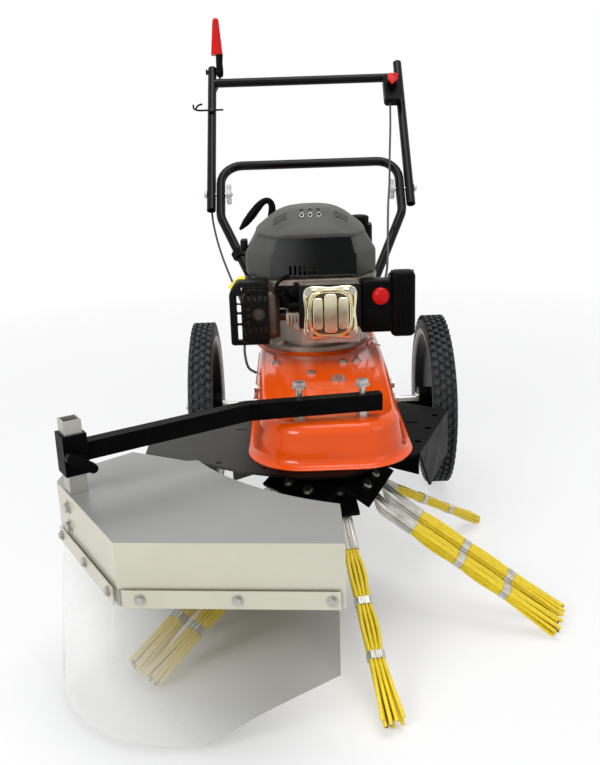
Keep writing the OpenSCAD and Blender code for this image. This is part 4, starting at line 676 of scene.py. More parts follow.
def belt_cover():
    """The pressing: a flared lip, steep walls, a rounded top edge, and a raised rim under the engine."""
    foot, sheet, middle_y = 258, 2.6, -225

    def inside(x, y):
        """A point of the outline, drawn in by the sheet's thickness."""
        return x * 0.975, middle_y + (y - middle_y) * 0.991

    outer = [cover_ring(130, 130, 94, 116, 92, foot), cover_ring(130.6, 130.6, 94.6, 116.6, 92, 259.5)]
    bends = [math.radians(90 * k / 8) for k in range(9)]
    for t in bends:
        out, up = 12 * (1 - math.sin(t)), 16 * (1 - math.cos(t))
        outer.append(cover_ring(117 + out, 124 + out / 2, 81 + out, 112 + out / 3, 80 + out, 261 + up))
    outer.append(cover_ring(114, 124, 77, 110, 78, 290))
    for t in bends:
        back = 15 * (1 - math.cos(t))
        outer.append(cover_ring(112 - back, 123 - back * 0.8, 73 - back * 1.2, 108 - back, 76 - back * 0.7,
                                302 + 20 * math.sin(t)))
    inner = [[(*inside(x, y), foot) for x, y, z in outer[2]]]
    for ring in outer[2:]:
        inner.append([(*inside(x, y), z - sheet) for x, y, z in ring])
    profile = ((104, 320), (109, 324.6), (112, 326), (115, 324.8), (119, 321.5), (112, 319))
    rim = [[(engine_x + r * math.cos(t), engine_y + r * math.sin(t), z) for r, z in profile]
           for t in turns(72)]
    pressing = joined(skin(list(reversed(inner)) + outer), skin(rim, caps=False, loop=True))
    obj = link_mesh("belt_cover_pressing", *pressing)
    fit(obj, orange_paint, "chassis", "orange_paint", "belt_cover", sharp=50)


belt_cover()
dress(zinc, "chassis_bolts")

# Engine block: a cast alloy vertical-shaft engine with its cylinder towards the front, bolted
# through its round flange to the belt cover.
cast_alloy = finish("cast_alloy", (0.29, 0.255, 0.21), (0.42, 0.375, 0.315), 50, (0.4, 0.55), 0.75,
                    (500, 0.0003))
dress(cast_alloy, "crankcase", "carburettor")
dress(zinc, "engine_screws")
dress(moulded_black, "plug_boot")


def case_ribs():
    """Upright stiffening ribs cast round the sides and back of the crankcase."""
    # Each level: the rib's inner and outer radius, half its thickness, its height.
    levels = ((84, 96, 3, 334), (84, 92, 2.4, 340), (84, 90.6, 2.2, 430), (84, 88.4, 2, 450),
              (84, 86.4, 1.8, 456))
    forms = []
    for turn in range(-10, 200, 20):
        c, d = math.cos(math.radians(turn)), math.sin(math.radians(turn))
        rings = []
        for near, far, half, z in levels:
            corners = ((near, -half), (far, -half * 0.8), (far, half * 0.8), (near, half))
            rings.append([(engine_x + r * c - w * d, engine_y + r * d + w * c, z) for r, w in corners])
        forms.append(skin(rings))
    fit(link_mesh("crankcase_ribs", *joined(*forms)), cast_alloy, "chassis", "cast_alloy")


case_ribs()

# Valve cover: pressed sheet with a bright yellow-chromate plate, held by a screw at each corner. It
# has a raised frame, and three upright bars stand in the sunk panel inside it.
champagne = finish("champagne_plate", (0.74, 0.70, 0.49), (0.86, 0.81, 0.59), 40, (0.14, 0.22), 1.0,
                   (200, 0.00003))
# The sunk panel round the bars is painted dark: painted shade in the recess.
groove_painted_shade = finish("valve_cover_groove", (0.05, 0.046, 0.03), (0.09, 0.083, 0.055), 40, (0.3, 0.4), 0.6)


def valve_cover():
    """The pressing from its flange to its sunk panel, and the three bars that stand in the panel."""
    middle_x, middle_z = 17, 418
    # Each level: half its width and height, squareness, how far its sides are drawn in, its depth.
    levels = [(51, 51, 6, 0.07, -200), (51, 51, 6, 0.07, -202.4), (50, 50, 6, 0.07, -203.4),
              (46.5, 47, 5, 0.07, -203.6), (44.6, 45.6, 4, 0.03, -206.8), (42.6, 44.2, 3.8, 0.02, -207.6),
              (40.8, 43, 3.6, 0.01, -205.0), (39.4, 42, 3.4, 0, -205.2), (38.4, 41, 3.4, 0, -209.5),
              (37.2, 40, 3.4, 0, -212.0), (35.6, 38.8, 3.4, 0, -212.2), (34.8, 38, 3.4, 0, -207.6),
              (20, 24, 3.4, 0, -207.4)]
    forms = [skin([[(middle_x + x, y, middle_z + z) for x, z in oval(half_x, half_z, power, 80, pinch)]
                   for half_x, half_z, power, pinch, y in levels])]
    for left, right, tall in ((-32.5, -14.4, 29.5), (-11.8, 11.8, 36.6), (14.4, 32.5, 29.5)):
        bar = []
        for grow, y in ((0, -206), (0, -213.6), (-0.8, -214.4)):
            bar.append([(middle_x + (left + right) / 2 + x, y, middle_z + z)
                        for x, z in oval((right - left) / 2 + grow, tall + grow, 7, 40)])
        forms.append(skin(bar))
    obj = link_mesh("valve_cover_pressing", *joined(*forms))
    fit(obj, champagne, "chassis", "champagne", "valve_cover", sharp=18)
    obj.data.materials.append(groove_painted_shade)
    panel_y = at(0, -207.5, 0).y
    # Faces of the sunk panel take the painted shade.
    for face in obj.data.polygons:
        sunk_in_shade = abs(face.center.y - panel_y) < 0.0007 and abs(face.normal.y) > 0.9
        face.material_index = 1 if sunk_in_shade else 0


valve_cover()

# Muffler and its guard: a seamed steel box bolted to the left of the head, and in front of it a
# slotted black pressing that keeps hands off it.
hot_steel = finish("hot_steel", (0.05, 0.045, 0.04), (0.12, 0.10, 0.085), 30, (0.42, 0.58), 0.85,
                   (400, 0.0001))


def box_form(x0, x1, y0, y1, z0, z1, r, steps=4):
    """A block with every edge rounded to r."""
    rings = []
    for k in range(2 * steps + 2):
        t = math.radians(90 * (k if k <= steps else k - 1) / steps - 90)
        drop = r * (1 - math.cos(t))
        y = (y0 + r + r * math.sin(t)) if k <= steps else (y1 - r + r * math.sin(t))
        ring = []
        corners = ((x1 - r, z1 - r, 0), (x0 + r, z1 - r, 90), (x0 + r, z0 + r, 180), (x1 - r, z0 + r, 270))
        for cx, cz, start in corners:
            for i in range(steps + 1):
                a = math.radians(start + 90 * i / steps)
                ring.append((cx + (r - drop) * math.cos(a), y, cz + (r - drop) * math.sin(a)))
        rings.append(ring)
    return skin(rings)


def boxes(*sizes):
    """Several rounded blocks as one form."""
    return joined(*[box_form(*size) for size in sizes])


def carve(obj, cutters):
    """Cuts holes of the given forms out of a closed piece."""
    tool = link_mesh(obj.name + "_cutter", *joined(*cutters))
    modifier = obj.modifiers.new("holes", "BOOLEAN")
    modifier.operation = "DIFFERENCE"
    modifier.solver = "EXACT"
    modifier.use_self = False
    modifier.object = tool
    bake(obj)
    bpy.data.objects.remove(tool)


guard_black = finish("guard_black", (0.0018, 0.0018, 0.002), (0.004, 0.004, 0.004), 40, (0.26, 0.4),
                     grain=(900, 0.00008), spec=0.12)


def soft_corners(points, radius, steps):
    """A polygon with its corners rounded, always with the same number of points."""
    out = []
    for i, p in enumerate(points):
        p, a, b = Vector(p), Vector(points[i - 1]), Vector(points[(i + 1) % len(points)])
        start = p + (a - p).normalized() * min(radius, (a - p).length * 0.45)
        end = p + (b - p).normalized() * min(radius, (b - p).length * 0.45)
        for k in range(steps + 1):
            t = k / steps
            q = start * (1 - t) ** 2 + p * 2 * t * (1 - t) + end * t ** 2
            out.append((q.x, q.y))
    return out


def guard_ring(inset, y):
    """The muffler guard's outline at one depth, drawn in by inset, with its upper left corner cut off."""
    left, right, low, high = -170 + inset, -97 - inset, 358 + inset, 478 - inset
    shape = [(left, low), (right, low), (right, high), (left + 14 - inset * 0.4, high),
             (left, high - 21 + inset * 0.4)]
    return [(x, y, z) for x, z in soft_corners(shape, 7 - inset * 0.5, 4)]


def muffler_guard():
    """A shallow tray with slots along its edges and a round hole for the outlet."""
    levels = ((3, -193), (0.8, -192.2), (0, -190.4), (0, -150))
    obj = link_mesh("muffler_guard_pressing", *skin([guard_ring(inset, y) for inset, y in levels]))
    carve(obj, [skin([guard_ring(2, -190.6), guard_ring(2, -140)])])
    front, behind = -200, -180
    cutters = [box_form(-156, -148.5, front, behind, low, high, 1.8, 2)
               for low, high in ((439, 453), (422, 436), (401, 418), (368, 397))]
    for x in (-147, -137, -127, -117, -107):
        cutters.append(box_form(x, x + 6.5, front, behind, 462, 468, 1.5, 2))
        cutters.append(box_form(x, x + 6.5, front, behind, 363, 368, 1.5, 2))
        for z in (376, 440):
            cutters.append(box_form(x + 1, x + 6, front, behind, z, z + 17, 2, 2))
    for z in (400, 412, 424):
        cutters.append(box_form(-144, -134, front, behind, z, z + 6, 1.8, 2))
    outlet = oval(12, 12, 2, 28)
    cutters.append(skin([[(-116.6 + x, y, 416 + z) for x, z in outlet] for y in (front, behind)]))
    carve(obj, cutters)
    fit(obj, guard_black, "chassis", "black_paint", "muffler_guard", sharp=40)


muffler_guard()


def muffler():
    """Two pressed halves with a rolled seam between them, and the pipe from the head."""
    can = boxes((-146, -80, -185, -112, 364, 457, 14, 5), (-148.5, -77.5, -151, -146, 361, 460, 2.4, 2))
    pipe = [[(x, -128 + 11 * math.cos(a), 400 + 11 * math.sin(a)) for a in turns(24)] for x in (-84, -29.5)]
    obj = link_mesh("muffler_can", *joined(can, skin(pipe)))
    fit(obj, hot_steel, "chassis", "dark_steel", "muffler")


muffler()
dress(hot_steel, "flywheel")

# Engine fittings: cast fins on the head beside its cover, dark sheet baffles behind the plug and
# round the head, a dark sheet behind the valve cover that is painted shade over the head's face, and a
# zinc-plated nut and washer that hold the head.
def head_fins():
    """A block of the head with five upright fins on its face."""
    fins = [(x, x + 3.2, -191.5, -180, 395, 415, 1.2, 2) for x in (-63.5, -57, -50.5, -44, -37.5)]
    obj = link_mesh("head_fins", *boxes((-66, -31, -184, -148, 390, 416, 3, 2), *fins))
    fit(obj, cast_alloy, "chassis", "cast_alloy")


def plug_baffle():
    """Folded sheets round the head: behind the plug and under the cowl, and a dark sheet behind the valve cover
    that is painted shade over the head's face.
    """
    obj = link_mesh("plug_baffle", *boxes(
        (-79, -32, -149, -146, 418, 471, 1, 2), (-72, -60, -156, -147, 424, 440, 2, 2),
        # The sheet behind the valve cover is painted shade: a dark sheet where the head's face lies in shade.
        (-50, -40, -160, -147, 446, 468, 2, 2), (-41, 74, -200.6, -196, 388, 470, 1.5, 2),
        (-150, -128, -112, -88, 461, 471, 2, 2), (-152, -138, -52, -24, 512, 536, 3, 3)))
    fit(obj, guard_black, "chassis", "black_paint")


def head_stud():
    """A six-sided nut on its washer."""
    middle_x, middle_z = -44.4, 388

    def stack(levels, sides):
        """A form with the given number of sides, from radius and depth at each level."""
        return skin([[(middle_x + r * math.cos(a), y, middle_z + r * math.sin(a)) for a in turns(sides)]
                     for r, y in levels])

    nut = stack(((6, -183), (6, -193), (5, -194.4)), 6)
    washer = stack(((8.4, -182), (8.4, -184.4)), 24)
    fit(link_mesh("head_stud", *joined(nut, washer)), zinc, "chassis", "zinc")


head_fins()
plug_baffle()
head_stud()

# Air cleaner: a moulded black case on the right of the head, a flat left half that carries the
# red primer bulb and a taller ribbed right half over the filter.
def air_cleaner():
    """The front cover with its ribs, and the base that it clips to."""
    ribs = [(x, x + 3, -196.6, -186, 380, 468, 1.4, 2) for x in (143, 152, 161)]
    cover = link_mesh("air_cleaner_front", *boxes(
        (74, 134, -192, -155, 374, 473, 6), (130, 176.4, -195, -155, 364, 488, 11, 6), *ribs,
        (84, 128, -194, -186, 384, 420, 3, 3)))
    fit(cover, moulded_black, "chassis", "black_plastic", "air_cleaner_cover")
    base = link_mesh("air_cleaner_back", *boxes(
        (76, 136, -153.6, -101, 376, 458, 5), (132, 175, -153.6, -101, 370, 474, 10, 6),
        (134, 178, -153.6, -148, 376, 484, 2, 2)))
    fit(base, moulded_black, "chassis", "black_plastic", "air_cleaner_base")


air_cleaner()
red_plastic = finish("red_plastic", (0.50, 0.006, 0.006), (0.58, 0.010, 0.009), 20, (0.24, 0.34),
                     grain=(700, 0.00004), spec=0.14)
dress(red_plastic, "primer_bulb")

# Blower housing: the moulded black cowl over the flywheel, screwed to the crankcase. It has flat
# facets round its sides, a raised top panel with keyhole vents and slots along its lower front.
# The cowl's black plastic is painted as two copies: this lighter grey one stands for the lit top and sides, and
# the near-black front panel is painted shade.
cowl_black = finish("cowl_black", (0.058, 0.059, 0.053), (0.082, 0.083, 0.075), 25, (0.4, 0.52),
                    grain=(1600, 0.00014), spec=0.2)
# The front panel is near-black as painted shade on a smoother finish, and lighter at its left end as a painted
# reflection of the room's light.
cowl_gloss = toned(finish("cowl_gloss", (0.0025, 0.003, 0.003), (0.005, 0.0055, 0.0055), 25, (0.24, 0.34),
                          grain=(1600, 0.00004), spec=0.08),
                   (0.062, 0.066, 0.066), (-1, 0, 0), -0.02, 0.085)
vent_places = (-29.6, -13.6, 2.7)


def cowl_ring(z, half, front, back, soft, flat):
    """An eight-sided plan of the cowl, given by half its width, its front and back, its corners'
    softness and the share of its width that its front takes."""
    mid = (front + back) / 2
    deep = (back - front) / 2
    side = deep * 0.42
    wide = half * flat
    shape = [(-14 - half, mid + side), (-14 - half, mid - side), (-10 - wide, front), (-10 + wide, front),
             (-14 + half, mid - side), (-14 + half, mid + side), (-10 + wide * 0.8, back),
             (-10 - wide * 0.8, back)]
    return [(x, y, z) for x, y in soft_corners(shape, soft, 4)]


def rim_loop(middle, half_x, half_y, rise, r):
    """A thin raised oval lip lying on the sloping crown."""
    up = Vector((0, -rise, 1))
    rings = []
    for a in turns(28):
        c, s = math.cos(a), math.sin(a)
        out = Vector((c, s, rise * s))
        spot = Vector(middle) + Vector((half_x * c, half_y * s, rise * half_y * s))
        rings.append([tuple(spot + out * r * math.cos(b) + up * r * math.sin(b)) for b in turns(8)])
    return skin(rings, caps=False, loop=True)


def blower_housing():
    """The cowl as one hollow moulding with its vents cut through, and a bright zinc lip in each keyhole that is
    a painted highlight on its moulded rim.
    """
    wall, foot = 3, 472
    levels = [(foot, 121, -150, 70, 9, 0.66), (475, 124, -153, 72, 9, 0.655),
              (480, 126.5, -155.5, 72, 8, 0.64), (514, 126.5, -156, 72, 8, 0.64),
              (519, 125, -156, 72, 8, 0.645), (524, 122, -155.8, 72, 8, 0.655),
              (536, 115, -155, 71, 9, 0.675), (550, 107, -153.5, 69, 9, 0.70),
              (552.6, 105.5, -152.5, 68, 9, 0.70), (553, 106.5, -158.6, 68.6, 14, 0.71),
              (557, 105.5, -159.4, 68, 18, 0.70), (561, 102, -157.4, 66, 24, 0.68),
              (568, 94, -150, 61, 32, 0.65), (577, 83, -138.5, 52, 36, 0.63), (586, 71, -124, 41, 36, 0.63),
              (592.5, 59, -110, 29, 34, 0.63), (596.6, 47, -97, 17, 30, 0.63), (598.4, 36, -86, 6, 26, 0.63)]
    outer = [cowl_ring(*level) for level in levels]
    inner = [cowl_ring(max(z - wall, foot), half - wall, front + wall, back - wall, soft, flat)
             for z, half, front, back, soft, flat in levels[1:]]
    obj = link_mesh("blower_cowl", *skin(list(reversed(inner)) + outer))
    below, above = 560, 620
    cutters = []
    for x in vent_places:
        for y, half_x, half_y in ((-97, 3.6, 5), (-119, 2.4, 5)):
            cutters.append(skin([[(x + px, y + py, z) for px, py in oval(half_x, half_y, 2, 20)]
                                 for z in (below, above)]))
    for left, right in ((-84, -58), (32, 58)):
        cutters += [box_form(left, right, y, y + 5, below, above, 1.5, 2) for y in (-121, -111, -101)]
    cutters += [box_form(x, x + 4.6, -170, -140, 481, 499, 1.2, 2) for x in range(-57, -6, 9)]
    cutters.append(box_form(-62, 64, -175, -138, 460, 478, 2, 2))
    carve(obj, cutters)
    fit(obj, cowl_black, "chassis", "black_plastic", "blower_housing", sharp=24)
    obj.data.materials.append(cowl_gloss)
    panel_foot = 0.5532
    for face in obj.data.polygons:
        # Faces below the crown that look to the front take the painted shade.
        shaded_smooth_front = face.center.z < panel_foot and face.normal.y < -0.93
        face.material_index = 1 if shaded_smooth_front else 0
    # The pale lips round the keyholes are painted highlights on their moulded rims.
    lips = [rim_loop((x, -119, 588.6), 3.4, 6.2, 0.46, 0.9) for x in vent_places]
    fit(link_mesh("blower_vent_lips", *joined(*lips)), zinc, "chassis", "zinc", sharp=60)


blower_housing()

# Fuel tank and cap: a moulded black tank bolted on behind the cowl, and a screw cap on its neck
# with fine ribs round it for the hand.
def fuel_cap():
    """The cap turned from its profile, with its ribs."""
    middle_x, middle_y = 96, 132
    rings = []
    for r, z, rib in ((19, 538.4, 0), (21.6, 539.4, 0.02), (21.8, 551, 0.03), (20.6, 554.4, 0.02),
                      (15, 556.6, 0), (6, 557.6, 0)):
        ring = []
        for a in turns(96):
            reach = r * (1 + rib * math.cos(24 * a))
            ring.append((middle_x + reach * math.cos(a), middle_y + reach * math.sin(a), z))
        rings.append(ring)
    obj = link_mesh("fuel_cap_ribbed", *skin(rings))
    fit(obj, moulded_black, "fuel_cap", "black_plastic", "fuel_cap", sharp=50)


fuel_cap()
dress(moulded_black, "fuel_tank")

# Starter grip: a ribbed moulded hook on the end of a braided rope. The rope is wound on a reel
# under the cowl and comes out of a moulded spout through a pressed metal eye.
rope_cord = cable_finish("rope_cord", (0.02, 0.02, 0.019), (0.05, 0.05, 0.047), 1800, 0.0003, (0.6, 0.75))
dress(moulded_black, "recoil_reel")


def smooth_path(points, steps):
    """A Catmull-Rom curve through points."""
    p = [Vector(q) for q in points]
    p = [p[0] * 2 - p[1]] + p + [p[-1] * 2 - p[-2]]
    out = []
    for i in range(1, len(p) - 2):
        for k in range(steps):
            t = k / steps
            spot = 2 * p[i] + (p[i + 1] - p[i - 1]) * t
            spot += (2 * p[i - 1] - 5 * p[i] + 4 * p[i + 1] - p[i + 2]) * t ** 2
            spot += (3 * p[i] - p[i - 1] - 3 * p[i + 1] + p[i + 2]) * t ** 3
            out.append(0.5 * spot)
    return out + [p[-2]]


def sweep(path, radii, sides):
    """A closed tube of changing radius along a path."""
    rings, up = [], Vector((0, 1, 0))
    for i, p in enumerate(path):
        ahead = (path[min(i + 1, len(path) - 1)] - path[max(i - 1, 0)]).normalized()
        side = ahead.cross(up)
        side = side.normalized() if side.length > 1e-6 else Vector((1, 0, 0))
        up = side.cross(ahead).normalized()
        rings.append([tuple(p + (side * math.cos(a) + up * math.sin(a)) * radii[i]) for a in turns(sides)])
    return skin(rings)


def rod(route, steps, radius, sides):
    """A round rod bent along a route."""
    path = smooth_path(route, steps)
    return sweep(path, [radius] * len(path), sides)


def flex(cord, body, start, end, *stands_for):
    """Shades a cord, sets its place into its mesh and hides the parts that it stands for."""
    for face in cord.data.polygons:
        face.use_smooth = True
    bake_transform(cord)
    if stands_for:
        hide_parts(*stands_for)


def rope_eye():
    """A moulded spout on the cowl with a pressed metal eye, and the rope that runs out of it."""
    def along(d):
        """A point on the rope's line, by its distance past the spout's mouth."""
        return Vector((-91.93, 83.6 + 0.7 * d, 543.4 + 0.714 * d))

    def turned(profile):
        """A round form about the rope's line."""
        return sweep([along(d) for d, r in profile], [r for d, r in profile], 28)

    spout = turned([(-48, 10), (-38, 9), (-24, 7.4), (-8, 6.6), (-1, 6.5), (0.5, 6.2), (0.5, 4.2), (-6, 4)])
    fit(link_mesh("rope_spout", *spout), moulded_black, "chassis", "black_plastic", sharp=40)
    eye = turned([(0.2, 3.6), (1.0, 6.2), (2.2, 6.6), (3.2, 6.0), (3.2, 3.8), (1.6, 3.2)])
    fit(link_mesh("rope_ferrule", *eye), zinc, "chassis", "zinc", sharp=50)
    cord = strands("starter_rope", [[tuple(along(d * 0.5)) for d in range(-8, 29)]], 2.2, 12, rope_cord)
    flex(cord, "starter_handle", along(3), along(12))


def starter_grip():
    """The hook along its middle line, from the rope's end to its tip, with ribs along its handle."""
    points = [(-91.9, 92, 552), (-91.5, 92, 565), (-89, 92, 579), (-90.5, 92, 591), (-98, 92, 597.5),
              (-109, 92, 594), (-120, 92, 583.5), (-133, 92, 568), (-146, 92, 553), (-159, 92, 539)]
    widths = [5.4, 7.4, 7.8, 6.8, 6.4, 7.2, 8.8, 9.4, 8.0, 3.0]
    steps, first_rib, last_rib = 14, 63, 121
    path = smooth_path(points, steps)
    radii = []
    for i in range(len(path)):
        j = min(i // steps, len(widths) - 2)
        body = widths[j] + (widths[j + 1] - widths[j]) * (i / steps - j)
        rib = 0.05 * math.cos(i * math.tau / 5) if first_rib <= i <= last_rib else 0
        radii.append(body * (1 + rib))
    grip = link_mesh("starter_grip", *sweep(path, radii, 20))
    fit(grip, moulded_black, "starter_handle", "black_plastic", "starter_handle", sharp=60)


rope_eye()
starter_grip()

# Engine lead and linkage: the rubber-covered plug lead that runs up under the cowl, the zinc-plated
# throttle rods below the air cleaner, a bare yellow hang tag at the muffler, and the moulded clip
# on the lower handle.
def plug_lead():
    """The lead from the plug's boot to the cowl."""
    route = [(-78, -178, 452), (-82, -177, 462), (-78, -172, 472), (-66, -160, 478), (-52, -146, 482)]
    fit(link_mesh("plug_lead", *rod(route, 8, 3.6, 14)), moulded_black, "chassis", "black_plastic", sharp=60)


def throttle_linkage():
    """Two bent rods and the spring collar where they meet."""
    long_rod = [(84, -168, 376), (92, -169, 364), (99, -166, 354), (104, -160, 345), (113, -152, 339)]
    short_rod = [(96, -164, 358), (90, -158, 350), (88, -150, 341), (92, -142, 334)]
    forms = [rod(long_rod, 8, 1.8, 10), rod(short_rod, 8, 1.6, 10)]
    collar = [Vector((101, -164 + k * 3, 350 - k)) for k in range(-3, 4)]
    forms.append(sweep(collar, [4.6, 5.2, 5.2, 4, 5.2, 5.2, 4.6], 18))
    fit(link_mesh("throttle_linkage", *joined(*forms)), zinc, "chassis", "zinc", sharp=60)


def hang_tag():
    """A plain card tag with a narrowed end, hanging aslant."""
    tag_yellow = finish("tag_yellow", (0.86, 0.72, 0.01), (0.92, 0.8, 0.02), 30, (0.3, 0.4))
    top = Vector((-141, -158, 482))
    along = Vector((-36, -6, -28)).normalized()
    wide = Vector((0.55, -0.5, -0.6)).normalized()
    facing = along.cross(wide).normalized()
    outline = soft_corners([(0, -3), (7, -7.5), (36, -7.5), (36, 7.5), (7, 7.5), (0, 3)], 3, 4)
    rings = [[tuple(top + along * u + wide * v + facing * t) for u, v in outline] for t in (-0.5, 0.5)]
    fit(link_mesh("hang_tag", *skin(rings)), tag_yellow, "chassis", "yellow_cable")


def cable_clip():
    """A six-sided sleeve round the lower handle's left tube."""
    middle = Vector((-174.5, 291, 455.6))
    down = Vector((0.394, -0.55, -0.737))
    across = Vector((0.813, 0.582, 0))
    over = down.cross(across).normalized()
    angles = [a + 0.5 for a in turns(6)]
    rings = []
    for r, d in ((15, -11), (17.5, -9), (17.5, 9), (15, 11)):
        around = [(across * math.cos(a) + over * math.sin(a)) * r for a in angles]
        rings.append([tuple(middle + down * d + side) for side in around])
    fit(link_mesh("cable_clip", *skin(rings)), moulded_black, "chassis", "black_plastic", sharp=30)


plug_lead()
throttle_linkage()
hang_tag()
cable_clip()

# Guard arm and post: a bent black tube bolted over the cover, ending in a socket. A galvanised
# square post slides in the socket and a moulded hand knob clamps it.
def galvanised_finish():
    """Zinc-dipped sheet: large flat crystals, each a slightly different grey."""
    mat = finish("galvanised", (0.43, 0.425, 0.39), (0.52, 0.515, 0.475), 6, (0.36, 0.48), 0.9,
                 (300, 0.00003))
    tree = mat.node_tree
    bsdf = tree.nodes["Principled BSDF"]
    coord = put(tree, "ShaderNodeTexCoord", {})
    cells = put(tree, "ShaderNodeTexVoronoi", {"Vector": coord.outputs["Object"], "Scale": 120})
    grey = put(tree, "ShaderNodeRGBToBW", {0: cells.outputs["Color"]})
    zinc_tone = bsdf.inputs["Base Color"].links[0].from_socket
    tint = put(tree, "ShaderNodeMix", {0: 0.02, 6: zinc_tone, 7: grey.outputs[0]}, data_type="RGBA",
               blend_type="OVERLAY")
    tree.links.new(tint.outputs[2], bsdf.inputs["Base Color"])
    return mat


dress(powder_black, "guard_arm")
dress(galvanised_finish(), "guard_post")
dress(moulded_black, "clamp_knob")

# Guard shell: zinc-coated sheet with a flat top and two walls folded down from it. Its top is painted
# a darker, cooler grey than the walls, a painted shade for how the light falls on them, and bolted strips clamp
# the skirt along them.
# The tone above the fold is darker as painted shade.
guard_sheet = toned(finish("guard_sheet", (0.56, 0.54, 0.435), (0.64, 0.62, 0.515), 5, (0.28, 0.38), 0.35,
                           (300, 0.00003), spec=0.4),
                    (0.26, 0.265, 0.265), (0, 0, 1), 0.2884, 0.2896, 0.84)
dress(guard_sheet, "guard_shell", "clamp_strips")
dress(zinc, "guard_bolts")

# Skirt: one flexible clear sheet clamped along the guard's walls, hanging to the floor in a free
# curve and cut up at its right end. It is milky at its left bend and painted darker towards its right, a
# painted shade for the shadow under the guard seen through it.
# The dark tone towards the right is painted shade, for the shadow under the guard behind the sheet.
clear_sheet = toned(finish("clear_sheet", (0.88, 0.88, 0.86), (0.94, 0.94, 0.92), 4, (0.10, 0.18),
                           grain=(12, 0.0002), spec=0.35),
                    (0.042, 0.038, 0.004), (1, 0, 0.9), -0.24, 0.05)
clear_sheet.node_tree.nodes["Principled BSDF"].inputs["Alpha"].default_value = 0.33
clear_sheet.surface_render_method = "BLENDED"


def skirt():
    """The sheet from its clamped edge to its foot, drawn column by column round the guard's corner."""
    corner, front_end, left_end = Vector((-278, -847)), Vector((0, -870)), Vector((-392, -655))
    clamp_height, bend_height, floor_gap, off_wall = 227, 203, 10, 0.3
    left_out = Vector((-(corner - left_end).y, (corner - left_end).x)).normalized()
    left_out = -left_out if left_out.x > 0 else left_out
    front_out = Vector(((front_end - corner).y, -(front_end - corner).x)).normalized()
    corner_out = (left_out + front_out) * 0.4 / (1 + left_out.dot(front_out))

    def left_at(f):
        """A place along the left wall, from the corner."""
        return corner + (left_end - corner) * f + left_out * off_wall

    def front_at(f):
        """A place along the front wall, from the corner."""
        return corner + (front_end - corner) * f + front_out * off_wall

    # Each column: where it is clamped, where its foot stands and how high its foot is.
    columns = [(left_at(0.97), (-396, -700), 40), (left_at(0.8), (-392, -735), floor_gap),
               (left_at(0.55), (-376, -772), floor_gap), (left_at(0.3), (-350, -806), floor_gap),
               (left_at(0.1), (-318, -833), floor_gap), (corner + corner_out, (-290, -850), floor_gap),
               (front_at(0.12), (-246, -863), floor_gap), (front_at(0.32), (-190, -869), floor_gap),
               (front_at(0.6), (-104, -873), 62), (front_at(0.97), (-9, -876), 114)]
    tops = smooth_path([(top.x, top.y, 0) for top, foot, height in columns], 6)
    feet = smooth_path([(*foot, height) for top, foot, height in columns], 6)
    rows = []
    for top, foot in zip(tops, feet):
        column = [(top.x, top.y, clamp_height)]
        for k in range(13):
            f = k / 12
            s = math.sin(f * math.pi / 2)
            column.append((top.x + (foot.x - top.x) * s, top.y + (foot.y - top.y) * s,
                           bend_height + (max(foot.z, floor_gap) - bend_height) * f))
        rows.append(column)
    deep = len(rows[0])
    verts = [p for column in rows for p in column]
    faces = [(i * deep + k, i * deep + k + 1, (i + 1) * deep + k + 1, (i + 1) * deep + k)
             for i in range(len(rows) - 1) for k in range(deep - 1)]
    obj = link_mesh("skirt_sheet", verts, faces)
    modifier = obj.modifiers.new("thickness", "SOLIDIFY")
    modifier.thickness = 0.0014
    modifier.offset = 0
    bake(obj)
    fit(obj, clear_sheet, "guard", "clear_sheet", "clear_skirt", sharp=60)


skirt()

# Handle: a lower bow of painted tube set in the deck's sockets and an upper bow that folds on two
# bolts, held by white plastic wing knobs. It carries the clutch lever, the throttle and a rope hook.
gloss_black = finish("gloss_black", (0.0025, 0.0025, 0.0025), (0.005, 0.005, 0.005), 30, (0.1, 0.17),
                     grain=(700, 0.00003), spec=0.13)
knob_white = finish("knob_white", (0.50, 0.51, 0.50), (0.62, 0.62, 0.61), 30, (0.3, 0.4))
dress(gloss_black, "lower_handle", "upper_handle", "clutch_lever")
dress(zinc, "fold_bolts")
dress(red_plastic, "lever_grip")
dress(moulded_black, "throttle_box")
fold_y, fold_z = 394, 587


def wing_knob(side, body):
    """A round hub with two flat wings that lean from upright."""
    lean = math.radians(78)
    profile = ((5, 205.6), (9.5, 205.6), (9.5, 198), (8, 193), (6, 191.4), (4.4, 191.4), (4.4, 205.6))
    hub = [[(side * x, fold_y + r * math.cos(a), fold_z + r * math.sin(a)) for a in turns(32)]
           for r, x in profile]
    forms = [skin(hub, caps=False)]
    for way in (-1, 1):
        wing = []
        for reach, thick, wide in ((5, 4.2, 4.5), (11, 3.2, 5.6), (17, 2.9, 6.4), (21, 2.8, 6),
                                   (23.4, 2.2, 4.6), (24.4, 1.2, 2.8)):
            wing.append([(side * (198 - px), fold_y + way * reach * math.cos(lean) - pt * math.sin(lean),
                          fold_z + way * reach * math.sin(lean) + pt * math.cos(lean))
                         for px, pt in oval(wide, thick, 3, 20)])
        forms.append(skin(wing))
    fit(link_mesh(body + "_wing", *joined(*forms)), knob_white, body, "clear_plastic", body, sharp=50)


wing_knob(-1, "knob_left")
wing_knob(1, "knob_right")
tube_back, tube_rise = 0.6468, 0.7627
up_tube, off_tube = Vector((0, tube_back, tube_rise)), Vector((0, -tube_rise, tube_back))


def on_tube(spot, x, up, off):
    """A point beside a spot: across the handle, up along its tube and off it to the front."""
    return tuple(spot + Vector((x, 0, 0)) + up_tube * up + off_tube * off)


